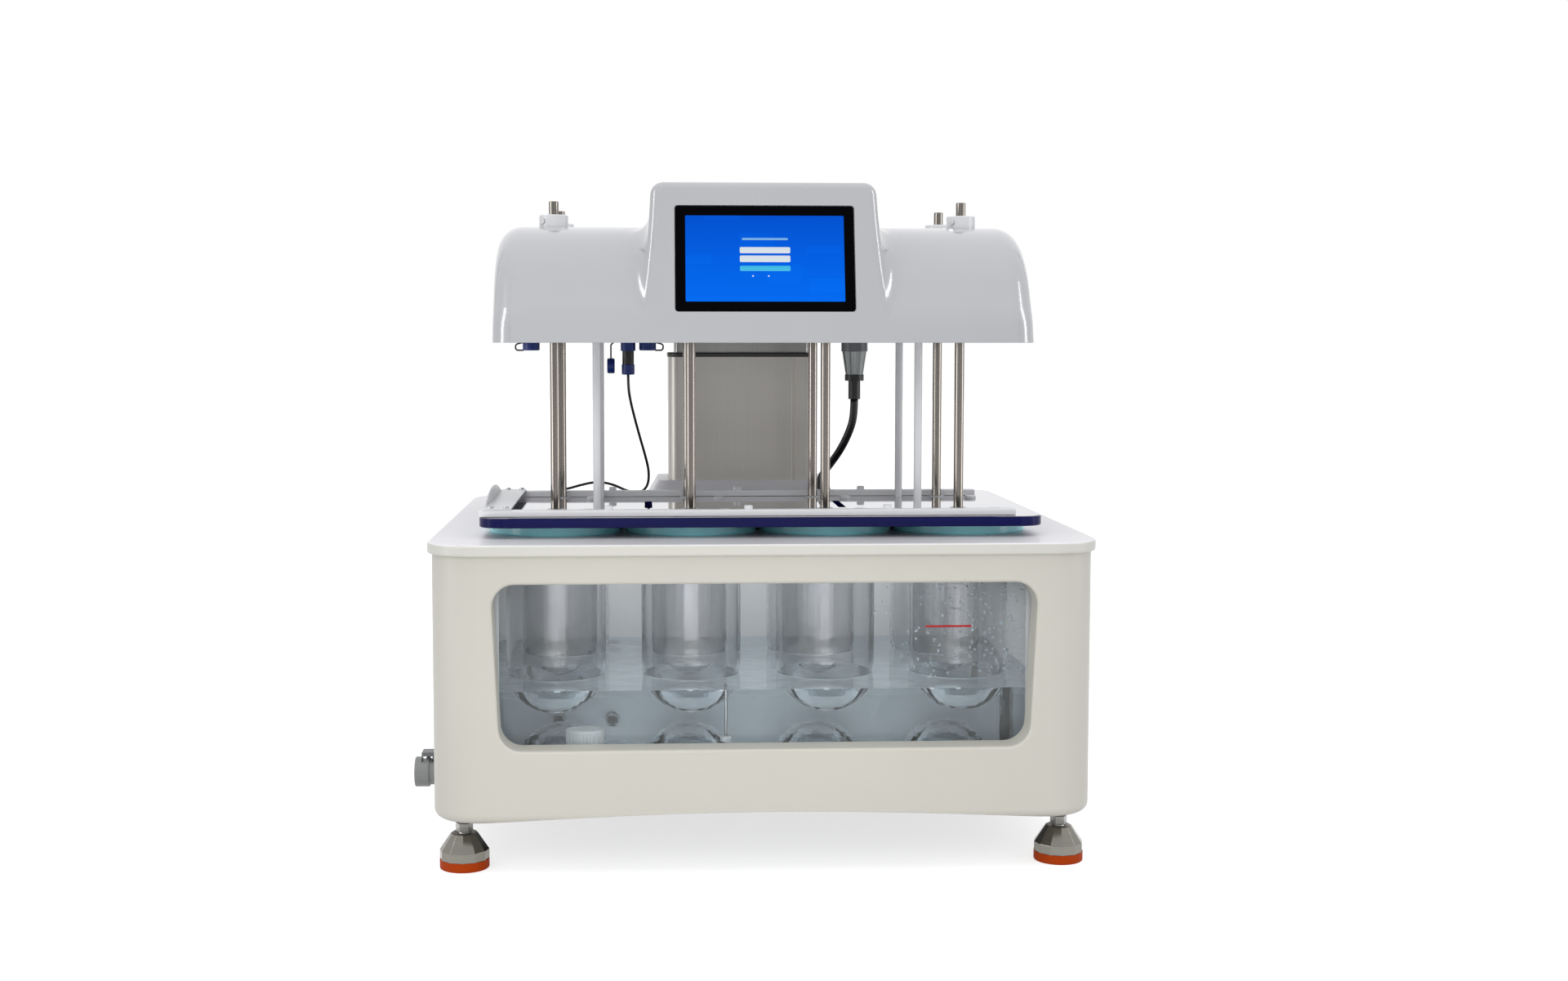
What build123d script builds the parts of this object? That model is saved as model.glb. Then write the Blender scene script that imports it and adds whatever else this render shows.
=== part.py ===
from build123d import *
from math import atan2, cos, degrees, hypot, pi, radians, sin, tan
import os

os.makedirs("parts", exist_ok=True)

# Driving dimensions of a bench tester with two rows of four vessels, in millimetres.
# Origin: middle of the bounding box, on the surface that the feet stand on.
# +X is to the right, +Y to the back and +Z up; the vessels stand at the front.
vessel_pitch = 140.0
row_gap = 150.0
vessels_per_row = 4
vessel_radius = 51.75
deck_side_margin = 121.5
front_row_setback = 146.5
tank_side_margin = 30.25
tank_rear_margin = 34.0
column_clearance = 94.75
column_depth = 100.0
column_back_margin = 23.0
foot_clearance = 52.0
housing_height = 262.0
deck_thickness = 11.5
head_gap = 194.0
lift_down = 104.0
lift_up = 45.0
row_span = (vessels_per_row - 1) * vessel_pitch
deck_width = row_span + 2 * deck_side_margin
deck_depth = (
    front_row_setback + row_gap + vessel_radius + tank_rear_margin
    + column_clearance + column_depth + column_back_margin
)

# Clearances and allowances shared by every piece.
fit_gap = 0.1
running_gap = 0.3
loose_gap = 1.0
overrun = 2.0

# Quick coupling on the left wall; half its reach keeps the bounding box on the origin.
coupling_reach = 29.0
deck_overhang = 4.5
machine_x = (coupling_reach - deck_overhang) / 2


def level(z):
    """Horizontal plane of the machine at height z."""
    return Plane(origin=(machine_x, 0, z))


def upright(y):
    """Vertical plane across the machine at depth y, seen from the front."""
    return Plane(origin=(machine_x, y, 0), x_dir=(1, 0, 0), z_dir=(0, -1, 0))


def lengthwise(x):
    """Vertical plane along the machine's depth, x to the right of its middle."""
    return Plane(origin=(machine_x + x, 0, 0), x_dir=(0, 1, 0), z_dir=(1, 0, 0))


def finish(piece, name):
    """Label a finished piece and write its file."""
    piece.part.label = name
    export_step(piece.part, f"parts/{name}.step")


# Heights and places that the pieces share.
housing_bottom = foot_clearance
housing_top = housing_bottom + housing_height
deck_top = housing_top + deck_thickness
deck_front = -deck_depth / 2
front_row_y = deck_front + front_row_setback
rear_row_y = front_row_y + row_gap
row_ys = (front_row_y, rear_row_y)
station_xs = [i * vessel_pitch - row_span / 2 for i in range(vessels_per_row)]
stations = [(x, y) for y in row_ys for x in station_xs]
head_bottom = deck_top + head_gap

# Housing: a moulded shell with a big window to the bath and an arched lower edge.
housing_wall = 5.0
housing_width = deck_width - 2 * deck_overhang
housing_depth = deck_depth - 2 * deck_overhang
housing_corner = 46.0
housing_sill_round = 9.0
housing_flange = 42.0
housing_front = -housing_depth / 2
window_top_margin = 60.5
window_foot_margin = 68.0
window_drop = 27.5
window_rise = 72.0
window_top_width = housing_width - 2 * window_top_margin
window_foot_width = housing_width - 2 * window_foot_margin
window_top = housing_top - window_drop
window_bottom = housing_bottom + window_rise
window_corner = 22.0
window_edge_round = 3.0
window_reveal = 31.0
window_lip = 4.0
arch_rise = 10.0
arch_margin = 47.0
arch_span = housing_width - 2 * arch_margin


def window_outline(grow):
    """Window opening in the front wall, a trapezoid with rounded corners, grown all round."""
    with BuildSketch() as outline:
        top, foot = window_top_width / 2 + grow, window_foot_width / 2 + grow
        low, high = window_bottom - grow, window_top + grow
        Polygon((-foot, low), (foot, low), (top, high), (-top, high), align=None)
        fillet(outline.vertices(), window_corner + grow)
    return outline.sketch


arch_radius = (arch_rise ** 2 + (arch_span / 2) ** 2) / (2 * arch_rise)
drain_x = -housing_width / 2
drain_offset = 10.0
drain_rise = 23.5
drain_y = front_row_y - drain_offset
drain_z = housing_bottom + drain_rise
drain_hole_radius = 11.5
coupling_tail = 24.0
inlet_x = 190.0
inlet_rise = 60.0
inlet_z = housing_bottom + inlet_rise
inlet_width = 50.0
inlet_height = 62.0
foot_inset_x = 34.0
foot_inset_y = 45.0
foot_xs = (foot_inset_x - deck_width / 2, deck_width / 2 - foot_inset_x)
foot_ys = (deck_front + foot_inset_y, -deck_front - foot_inset_y)
foot_places = [(x, y) for y in foot_ys for x in foot_xs]
stud_radius = 6.0

with BuildPart() as base_housing:
    with BuildSketch(level(housing_bottom)):
        RectangleRounded(housing_width, housing_depth, housing_corner)
    extrude(amount=housing_height)
    fillet(base_housing.faces().sort_by(Axis.Z)[0].edges(), housing_sill_round)
    with BuildSketch(level(housing_bottom + housing_wall)):
        RectangleRounded(
            housing_width - 2 * housing_wall, housing_depth - 2 * housing_wall,
            housing_corner - housing_wall,
        )
    extrude(amount=housing_height, mode=Mode.SUBTRACT)
    with BuildSketch(level(housing_bottom - overrun)):
        RectangleRounded(
            housing_width - 2 * housing_flange, housing_depth - 2 * housing_flange,
            housing_corner - housing_wall,
        )
    extrude(amount=housing_height, mode=Mode.SUBTRACT)
    with BuildSketch(upright(housing_front + window_reveal)):
        add(window_outline(window_lip))
    extrude(amount=window_reveal - housing_wall / 2)
    with BuildSketch(upright(housing_front + window_reveal + overrun)):
        add(window_outline(0))
    extrude(amount=window_reveal + 2 * overrun, mode=Mode.SUBTRACT)
    front_face = base_housing.faces().filter_by(Axis.Y).sort_by(Axis.Y)[0]
    fillet(front_face.inner_wires()[0].edges(), window_edge_round)
    with BuildSketch(upright(0)):
        with Locations((0, housing_bottom + arch_rise - arch_radius)):
            Circle(arch_radius)
        Rectangle(arch_span, 2 * (housing_bottom + arch_rise), mode=Mode.INTERSECT)
    extrude(amount=deck_depth, both=True, mode=Mode.SUBTRACT)
    with BuildSketch(lengthwise(drain_x)):
        with Locations((drain_y, drain_z)):
            Circle(drain_hole_radius + loose_gap)
    extrude(amount=housing_wall * 2, both=True, mode=Mode.SUBTRACT)
    with BuildSketch(upright(-housing_front)):
        with Locations((inlet_x, inlet_z)):
            Rectangle(inlet_width, inlet_height)
    extrude(amount=housing_wall * 2, both=True, mode=Mode.SUBTRACT)
    with BuildSketch(level(housing_bottom)):
        with Locations(*foot_places):
            Circle(stud_radius + loose_gap)
    extrude(amount=housing_wall, mode=Mode.SUBTRACT)
finish(base_housing, "base_housing")

# Column: a two-stage aluminium lifting column at the back, its outer stage in the base.
column_width = 178.0
column_y = rear_row_y + vessel_radius + tank_rear_margin + column_clearance + column_depth / 2
column_round = 12.0
column_wall = 5.0
column_groove_x = 62.5
column_groove = 4.0
column_collar_height = 5.0
column_collar_proud = 1.0
column_head_gap = 13.0
column_top = head_bottom - column_head_gap
stage_gap = 2.5
hose_radius = 8.0
tray_thickness = 3.0
tray_z = housing_bottom + arch_rise + loose_gap
tray_top = tray_z + tray_thickness

# Deck slab with a seat for each vessel and openings for the column and cables.
vessel_wall = 2.5
deck_corner = 50.0
deck_round = 2.5
seat_gap = 0.75
seat_radius = vessel_radius + seat_gap
signal_gland_x, signal_gland_y = -236.0, 129.0
gland_hole_radius = 5.0

with BuildPart() as deck_slab:
    with BuildSketch(level(housing_top)):
        RectangleRounded(deck_width, deck_depth, deck_corner)
        with Locations(*stations):
            Circle(seat_radius, mode=Mode.SUBTRACT)
        with Locations((0, column_y)):
            RectangleRounded(
                column_width + 2 * loose_gap, column_depth + 2 * loose_gap,
                column_round + loose_gap, mode=Mode.SUBTRACT,
            )
        with Locations((signal_gland_x, signal_gland_y)):
            Circle(gland_hole_radius, mode=Mode.SUBTRACT)
    extrude(amount=deck_thickness)
    slab_top = deck_slab.faces().sort_by(Axis.Z)[-1]
    slab_bottom = deck_slab.faces().sort_by(Axis.Z)[0]
    fillet(slab_top.outer_wire().edges() + slab_bottom.outer_wire().edges(), deck_round)
finish(deck_slab, "deck_slab")

# Levelling feet: a threaded stud in a steel cup with a rubber pad under it.
pad_radius = 24.5
pad_height = 9.5
pad_round = 1.5
cup_band_height = 9.0
cup_cone_height = 17.0
cup_cone_sides = 12
cup_cone_top_radius = 13.0
cup_round = 0.8
cup_socket_radius = 7.0
cup_socket_depth = 12.0
stud_hex_radius = 8.5
stud_hex_height = 8.0
stud_hex_gap = 1.5
stud_length = 64.0
thread_gap = 0.05
cup_top = pad_height + cup_band_height + cup_cone_height

with BuildPart() as foot_pads:
    with BuildSketch(level(0)):
        with Locations(*foot_places):
            Circle(pad_radius)
    extrude(amount=pad_height)
    fillet(foot_pads.faces().group_by(Axis.Z)[0].edges(), pad_round)
finish(foot_pads, "foot_pads")

with BuildPart() as foot_cups:
    with BuildSketch(level(pad_height)):
        with Locations(*foot_places):
            RegularPolygon(pad_radius, cup_cone_sides)
    extrude(amount=cup_band_height)
    for x, y in foot_places:
        with BuildSketch(level(pad_height + cup_band_height)):
            with Locations((x, y)):
                RegularPolygon(pad_radius, cup_cone_sides)
        with BuildSketch(level(cup_top)):
            with Locations((x, y)):
                RegularPolygon(cup_cone_top_radius, cup_cone_sides)
        loft()
    chamfer(foot_cups.faces().group_by(Axis.Z)[-1].edges(), cup_round)
    with BuildSketch(level(cup_top)):
        with Locations(*foot_places):
            Circle(cup_socket_radius)
    extrude(amount=-cup_socket_depth, mode=Mode.SUBTRACT)
finish(foot_cups, "foot_cups")

stud_bottom = cup_top - cup_socket_depth + running_gap
boss_radius = 17.0
boss_height = 26.0
boss_bottom = housing_bottom + housing_wall

for number, (x, y) in enumerate(foot_places, start=1):
    with BuildPart() as levelling_stud:
        with BuildSketch(level(stud_bottom)):
            with Locations((x, y)):
                Circle(stud_radius)
        extrude(amount=stud_length)
        with BuildSketch(level(cup_top + stud_hex_gap)):
            with Locations((x, y)):
                RegularPolygon(stud_hex_radius, 6)
        extrude(amount=stud_hex_height)
        chamfer(levelling_stud.faces().sort_by(Axis.Z)[-1].edges(), cup_round)
    finish(levelling_stud, f"levelling_stud_{number}")

# Bath: a clear tank under the deck, open at the top, with a floor drain and a level sensor.
tank_front = housing_front + window_reveal + running_gap
tank_width = row_span + 2 * (vessel_radius + tank_side_margin)
tank_back = rear_row_y + vessel_radius + tank_rear_margin
tank_wall = 6.0
tank_floor = 8.0
tank_floor_drop = 10.0
tank_corner = 34.0
tank_bottom = window_bottom - tank_floor_drop
tank_floor_top = tank_bottom + tank_floor
tank_depth = tank_back - tank_front
tank_y = (tank_front + tank_back) / 2
tank_height = housing_top - tank_bottom
strainer_offset, strainer_setback = 32.0, 28.0
strainer_x, strainer_y = station_xs[0] + strainer_offset, tank_front + strainer_setback
strainer_radius = 19.25
strainer_height = 13.0
strainer_round = 1.6
strainer_flute_share = 0.75
strainer_flutes = 30
strainer_flute_radius = 0.7
strainer_stem_radius = 8.0
sensor_offset, sensor_setback = 33.0, 36.0
sensor_x, sensor_y = station_xs[1] + sensor_offset, tank_front + sensor_setback
sensor_radius = 1.6
sensor_boss_radius = 6.0
sensor_boss_height = 3.0
sensor_height = 54.0
pipe_radius = 8.0
pipe_wall = 2.0
pipe_rise = 26.0
pipe_spread = 60.0
circulator_offset = 25.0
circulator_x = station_xs[0] + circulator_offset
pipe_z = tank_floor_top + pipe_rise
pipe_xs = (circulator_x - pipe_spread / 2, circulator_x + pipe_spread / 2)

with BuildPart() as bath_tank:
    with BuildSketch(level(tank_bottom)):
        with Locations((0, tank_y)):
            RectangleRounded(tank_width, tank_depth, tank_corner)
    extrude(amount=tank_height)
    with BuildSketch(level(tank_floor_top)):
        with Locations((0, tank_y)):
            RectangleRounded(
                tank_width - 2 * tank_wall, tank_depth - 2 * tank_wall, tank_corner - tank_wall
            )
    extrude(amount=tank_height, mode=Mode.SUBTRACT)
    with BuildSketch(level(tank_bottom)):
        with Locations((strainer_x, strainer_y)):
            Circle(strainer_stem_radius + fit_gap)
    extrude(amount=tank_floor, mode=Mode.SUBTRACT)
    with BuildSketch(upright(tank_back)):
        with Locations(*[(x, pipe_z) for x in pipe_xs]):
            Circle(pipe_radius + fit_gap)
    extrude(amount=tank_wall, mode=Mode.SUBTRACT)
finish(bath_tank, "bath_tank")

strainer_tail = tank_floor + strainer_height / 2

with BuildPart() as bath_fittings:
    with BuildSketch(level(tank_floor_top)):
        with Locations((strainer_x, strainer_y)):
            Circle(strainer_radius)
    extrude(amount=strainer_height)
    fillet(bath_fittings.faces().sort_by(Axis.Z)[-1].edges(), strainer_round)
    with BuildSketch(level(tank_floor_top)):
        with Locations((strainer_x, strainer_y)):
            with PolarLocations(strainer_radius, strainer_flutes):
                Circle(strainer_flute_radius)
    extrude(amount=strainer_height * strainer_flute_share, mode=Mode.SUBTRACT)
    with BuildSketch(level(tank_floor_top)):
        with Locations((strainer_x, strainer_y)):
            Circle(strainer_stem_radius)
    extrude(amount=-strainer_tail)
    with BuildSketch(level(tank_floor_top)):
        with Locations((sensor_x, sensor_y)):
            Circle(sensor_boss_radius)
    extrude(amount=sensor_boss_height)
    with BuildSketch(level(tank_floor_top)):
        with Locations((sensor_x, sensor_y)):
            Circle(sensor_radius)
    extrude(amount=sensor_height)
finish(bath_fittings, "bath_fittings")

# Chassis: a steel tray with bosses for the studs, bearers for the tank and a column foot.
tray_margin = 3.0
tray_opening_width = 330.0
tray_opening_depth = 210.0
tray_opening_y = -120.0
bearer_inset = 24.0
bearer_x = tank_width / 2 - bearer_inset
bearer_width = 16.0

with BuildPart() as base_frame:
    with BuildSketch(level(tray_z)):
        RectangleRounded(
            housing_width - 2 * (housing_wall + tray_margin),
            housing_depth - 2 * (housing_wall + tray_margin),
            housing_corner - housing_wall - tray_margin,
        )
        with Locations((0, tray_opening_y)):
            Rectangle(tray_opening_width, tray_opening_depth, mode=Mode.SUBTRACT)
    extrude(amount=tray_thickness)
    with BuildSketch(level(boss_bottom)):
        with Locations(*foot_places):
            Circle(boss_radius)
    extrude(amount=boss_height)
    with BuildSketch(level(tray_z)):
        with Locations((-bearer_x, tank_y), (bearer_x, tank_y)):
            Rectangle(bearer_width, tank_depth - 2 * tank_corner)
    extrude(amount=tank_bottom - tray_z)
    with BuildSketch(level(0)):
        with Locations(*foot_places):
            Circle(stud_radius + thread_gap)
    extrude(amount=deck_top, mode=Mode.SUBTRACT)
    with BuildSketch(lengthwise(-bearer_x)):
        with Locations((drain_y, drain_z)):
            Circle(hose_radius + loose_gap)
    extrude(amount=bearer_width, both=True, mode=Mode.SUBTRACT)
    with BuildSketch(lengthwise(drain_x)):
        with Locations((drain_y, drain_z)):
            Circle(drain_hole_radius + loose_gap)
    extrude(amount=coupling_tail + loose_gap, mode=Mode.SUBTRACT)
finish(base_frame, "base_frame")

# Drain line: quick coupling on the left wall, its thumb latch and the hose to the strainer.
collar_radius = 15.5
collar_length = 15.0
collar_lip = 7.0
neck_radius = 13.5
coupling_bore = 10.0
coupling_bore_depth = 20.0
coupling_round = 1.0
collar_slot_width = 4.5
collar_slot_depth = 4.0
latch_width = 20.0
latch_thickness = 4.0
latch_travel = 2.0
latch_stem_length = 8.0
latch_stem_width = 12.0
coupling_face = drain_x - coupling_reach
latch_left = coupling_face + collar_lip
latch_length = coupling_reach - collar_lip - running_gap
latch_x = latch_left + latch_length / 2
latch_pad_z = drain_z + collar_radius + latch_travel + running_gap
latch_stem_x = (coupling_face + collar_length + drain_x) / 2
latch_stem_foot = drain_z + neck_radius - latch_travel / 2

with BuildPart() as drain_coupling:
    with BuildSketch(lengthwise(coupling_face)):
        with Locations((drain_y, drain_z)):
            Circle(collar_radius)
    extrude(amount=collar_length)
    fillet(drain_coupling.faces().filter_by(Axis.X).edges(), coupling_round)
    with BuildSketch(lengthwise(drain_x)):
        with Locations((drain_y, drain_z)):
            Circle(neck_radius)
    extrude(amount=-(coupling_reach - collar_lip))
    with BuildSketch(lengthwise(drain_x)):
        with Locations((drain_y, drain_z)):
            Circle(drain_hole_radius)
    extrude(amount=coupling_tail)
    with BuildSketch(lengthwise(coupling_face)):
        with Locations((drain_y, drain_z)):
            Circle(coupling_bore)
    extrude(amount=coupling_bore_depth, mode=Mode.SUBTRACT)
    with BuildSketch(Plane(origin=(machine_x + latch_left, drain_y, drain_z + collar_radius))):
        Rectangle(
            collar_slot_width, 2 * collar_radius, align=(Align.MIN, Align.CENTER)
        )
    extrude(amount=-collar_slot_depth, mode=Mode.SUBTRACT)
    with BuildSketch(Plane(origin=(machine_x + latch_stem_x, drain_y, drain_z + collar_radius))):
        Rectangle(latch_stem_length + 2 * running_gap, latch_stem_width + 2 * running_gap)
    extrude(
        amount=latch_stem_foot - latch_travel - running_gap - drain_z - collar_radius,
        mode=Mode.SUBTRACT,
    )
finish(drain_coupling, "drain_coupling")

with BuildPart() as coupling_latch:
    with BuildSketch(Plane(origin=(machine_x + latch_x, drain_y, latch_pad_z))):
        RectangleRounded(latch_length, latch_width, latch_thickness / 2)
    extrude(amount=latch_thickness)
    fillet(coupling_latch.faces().sort_by(Axis.Z)[-1].edges(), coupling_round)
    with BuildSketch(Plane(origin=(machine_x + latch_stem_x, drain_y, latch_pad_z))):
        Rectangle(latch_stem_length, latch_stem_width)
    extrude(amount=latch_stem_foot - latch_pad_z)
finish(coupling_latch, "coupling_latch")

# Circulator: heater and pump behind the tank.
circulator_width = 120.0
circulator_depth = 110.0
circulator_height = 96.0
circulator_gap = 40.0
circulator_y = tank_back + circulator_gap + circulator_depth / 2
pump_radius = 34.0
pump_height = 44.0
body_round = 6.0

with BuildPart() as circulator:
    with BuildSketch(level(tray_top)):
        with Locations((circulator_x, circulator_y)):
            RectangleRounded(circulator_width, circulator_depth, body_round)
    extrude(amount=circulator_height)
    fillet(circulator.faces().sort_by(Axis.Z)[-1].edges(), body_round / 2)
    with BuildSketch(level(tray_top + circulator_height)):
        with Locations((circulator_x, circulator_y)):
            Circle(pump_radius)
    extrude(amount=pump_height)
    fillet(circulator.faces().sort_by(Axis.Z)[-1].edges(), body_round / 2)
finish(circulator, "circulator")

# Water lines: two pipes through the tank's back wall and the hose from strainer to coupling.
hose_start = (machine_x + drain_x + coupling_tail, drain_y, drain_z)
hose_end = (machine_x + strainer_x, strainer_y, tank_floor_top - strainer_tail)
hose_turn = (hose_end[0], drain_y, drain_z)
hose_under = (hose_end[0], strainer_y, drain_z)

with BuildPart() as water_lines:
    with BuildSketch(upright(tank_back - tank_wall - pipe_radius)):
        with Locations(*[(x, pipe_z) for x in pipe_xs]):
            Circle(pipe_radius)
            Circle(pipe_radius - pipe_wall, mode=Mode.SUBTRACT)
    extrude(amount=-(circulator_y - circulator_depth / 2 - tank_back + tank_wall + pipe_radius))
    with BuildLine():
        FilletPolyline(
            hose_start, hose_turn, hose_under, hose_end,
            radius=hose_end[2] - drain_z - running_gap,
        )
    with BuildSketch(Plane(origin=hose_start, z_dir=(1, 0, 0))):
        Circle(hose_radius)
    sweep()
finish(water_lines, "water_lines")

# Vessels: round-bottomed glass beakers hanging by their rims, each held by a coloured ring.
vessel_floor_gap = 17.0
vessel_bottom = tank_floor_top + vessel_floor_gap
rim_reach = 6.0
rim_radius = vessel_radius + rim_reach
rim_height = 4.0
ring_radius = 68.0
ring_height = 11.0
ring_grip = 1.0
ring_bore = vessel_radius - ring_grip
ring_round = 1.2
bowl_centre_z = vessel_bottom + vessel_radius

for row_name, row_y in zip(("front_vessels", "rear_vessels"), row_ys):
    with BuildPart() as vessels:
        with BuildSketch(lengthwise(0)):
            with BuildLine():
                outer_bowl = CenterArc((row_y, bowl_centre_z), vessel_radius, -90, 90)
                outer_wall = Line(outer_bowl @ 1, (row_y + vessel_radius, deck_top))
                rim_under = Line(outer_wall @ 1, (row_y + rim_radius, deck_top))
                rim_edge = Line(rim_under @ 1, (row_y + rim_radius, deck_top + rim_height))
                inner_top = (row_y + vessel_radius - vessel_wall, deck_top + rim_height)
                rim_over = Line(rim_edge @ 1, inner_top)
                inner_wall = Line(rim_over @ 1, (inner_top[0], bowl_centre_z))
                inner_bowl = CenterArc(
                    (row_y, bowl_centre_z), vessel_radius - vessel_wall, 0, -90
                )
                Line(inner_bowl @ 1, outer_bowl @ 0)
            make_face()
        revolve(axis=Axis((machine_x, row_y, 0), (0, 0, 1)))
    glass = [vessels.part.moved(Location((x, 0, 0))) for x in station_xs]
    vessel_row = Compound(label=row_name, children=glass)
    export_step(vessel_row, f"parts/{row_name}.step")

with BuildPart() as vessel_rings:
    with BuildSketch(level(deck_top)):
        with Locations(*stations):
            Circle(ring_radius)
            Circle(ring_bore, mode=Mode.SUBTRACT)
    extrude(amount=ring_height)
    with BuildSketch(level(deck_top)):
        with Locations(*stations):
            Circle(rim_radius + fit_gap)
    extrude(amount=rim_height + fit_gap, mode=Mode.SUBTRACT)
    outer_rims = vessel_rings.edges().filter_by(GeomType.CIRCLE)
    fillet(outer_rims.filter_by(lambda e: e.radius > ring_radius - fit_gap), ring_round)
finish(vessel_rings, "vessel_rings")

# Cover plate over all the vessels, with shaft, probe and dosing holes and two slots.
plate_overhang = 72.8
plate_reach = 92.5
plate_width = row_span + 2 * plate_overhang
plate_front = front_row_y - plate_reach
plate_depth = row_gap + 2 * plate_reach
plate_thickness = 10.0
plate_corner = 24.0
plate_round = 0.8
plate_y = plate_front + plate_depth / 2
plate_bottom = deck_top + ring_height
plate_top = plate_bottom + plate_thickness
shaft_radius = 5.0
bush_gap = 0.8
bush_radius = 7.5
bush_flange_radius = 8.5
bush_flange = 1.0
probe_radius = 4.1
probe_inset = 43.0
probe_hole_gap = 1.0
probe_places = [
    (side * (station_xs[-1] - probe_inset), y) for y in row_ys for side in (-1, 1)
]
port_offset = (34.0, -27.0)
port_places = [(x + port_offset[0], y + port_offset[1]) for x, y in stations]
port_radius = 4.0
port_cap_radius = 6.0
port_cap_height = 3.0
port_cap_round = 1.0
slot_offsets = (-44.0, 20.0)
slot_xs = [x + offset for x, offset in zip(station_xs[1:3], slot_offsets)]
slot_width = 8.0
slot_length = 82.0
slot_shift = 19.0
slot_y = (front_row_y + rear_row_y) / 2 - slot_shift

with BuildPart() as cover_plate:
    with BuildSketch(level(plate_bottom)):
        with Locations((0, plate_y)):
            RectangleRounded(plate_width, plate_depth, plate_corner)
        with Locations(*stations):
            Circle(bush_radius, mode=Mode.SUBTRACT)
        with Locations(*probe_places):
            Circle(probe_radius + probe_hole_gap, mode=Mode.SUBTRACT)
        with Locations(*port_places):
            Circle(port_radius, mode=Mode.SUBTRACT)
        with Locations(*[(x, slot_y) for x in slot_xs]):
            SlotOverall(slot_length, slot_width, rotation=90, mode=Mode.SUBTRACT)
    extrude(amount=plate_thickness)
    rims = cover_plate.faces().filter_by(Axis.Z)
    chamfer([edge for face in rims for edge in face.outer_wire().edges()], plate_round)
finish(cover_plate, "cover_plate")

with BuildPart() as plate_inserts:
    with BuildSketch(level(plate_top)):
        with Locations(*port_places):
            Circle(port_cap_radius)
    extrude(amount=port_cap_height)
    fillet(plate_inserts.faces().group_by(Axis.Z)[-1].edges(), port_cap_round)
    with BuildSketch(level(plate_top)):
        with Locations(*port_places):
            Circle(port_radius)
    extrude(amount=-plate_thickness / 2)
    with BuildSketch(level(plate_top)):
        with Locations(*stations):
            Circle(bush_flange_radius)
    extrude(amount=bush_flange)
    with BuildSketch(level(plate_top)):
        with Locations(*stations):
            Circle(bush_radius)
    extrude(amount=-plate_thickness)
    with BuildSketch(level(plate_bottom)):
        with Locations(*stations):
            Circle(shaft_radius + bush_gap)
    extrude(amount=plate_thickness + 2 * bush_flange, mode=Mode.SUBTRACT)
finish(plate_inserts, "plate_inserts")

# Dosing slide: two bars tied by a sheet-metal handle, pushed right to open the ports.
bar_width = 10.0
bar_height = 6.5
bar_round = 1.5
bar_left = -plate_width / 2
bar_right_gap = 27.6
bar_length = plate_width - bar_right_gap
front_bar_reach = 74.5
rear_bar_reach = 14.5
front_bar_y = front_row_y - front_bar_reach
rear_bar_y = rear_row_y + rear_bar_reach
knob_radius = 4.2
knob_height = 4.0
knob_round = 1.0
knob_offset = 56.0
knob_xs = [x + knob_offset for x in station_xs]
knob_places = [(x, y) for y in (front_bar_y, rear_bar_y) for x in knob_xs]
bar_bottom = plate_top + running_gap
bar_top = bar_bottom + bar_height
handle_width = 28.0
handle_sheet = 1.5
handle_inset = 4.0
handle_left = bar_left + handle_inset
handle_front = front_bar_y - bar_width / 2
handle_depth = rear_bar_y + bar_width / 2 - handle_front
handle_y = handle_front + handle_depth / 2
tab_chord = 216.0
tab_rise = 15.0
screw_radius = 2.8
screw_height = 1.8
screw_chamfer = 0.6
screw_insets = (8.0, 23.0)
screw_xs = [handle_left + inset for inset in screw_insets]

with BuildPart() as dosing_bars:
    with BuildSketch(level(bar_bottom)):
        with Locations(*[(bar_left + bar_length / 2, y) for y in (front_bar_y, rear_bar_y)]):
            Rectangle(bar_length, bar_width)
    extrude(amount=bar_height)
    fillet(dosing_bars.faces().group_by(Axis.Z)[-1].edges(), bar_round)
    with BuildSketch(level(bar_top)):
        with Locations(*[place for place in knob_places if place[0] < bar_left + bar_length]):
            Circle(knob_radius)
    extrude(amount=knob_height)
    fillet(dosing_bars.faces().group_by(Axis.Z)[-1].edges(), knob_round)
finish(dosing_bars, "dosing_bars")

tab_radius = (tab_rise ** 2 + (tab_chord / 2) ** 2) / (2 * tab_rise)

with BuildPart() as slide_handle:
    with BuildSketch(level(bar_top)):
        with Locations((handle_left + handle_width / 2, handle_y)):
            Rectangle(handle_width, handle_depth)
    extrude(amount=handle_sheet)
    with BuildSketch(lengthwise(handle_left)):
        with Locations((handle_y, bar_top + tab_rise - tab_radius)):
            Circle(tab_radius)
        with Locations((handle_y, bar_top)):
            Rectangle(tab_chord, 2 * tab_rise, align=(Align.CENTER, Align.MIN), mode=Mode.INTERSECT)
    extrude(amount=handle_sheet)
finish(slide_handle, "slide_handle")

with BuildPart() as handle_screws:
    with BuildSketch(level(bar_top + handle_sheet)):
        with Locations(*[(x, y) for x in screw_xs for y in (front_bar_y, rear_bar_y)]):
            Circle(screw_radius)
    extrude(amount=screw_height)
    chamfer(handle_screws.faces().group_by(Axis.Z)[-1].edges(), screw_chamfer)
finish(handle_screws, "handle_screws")

# Outer column stage with two long grooves in its front face and a collar at its mouth.
outer_height = column_top - tray_top

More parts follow.
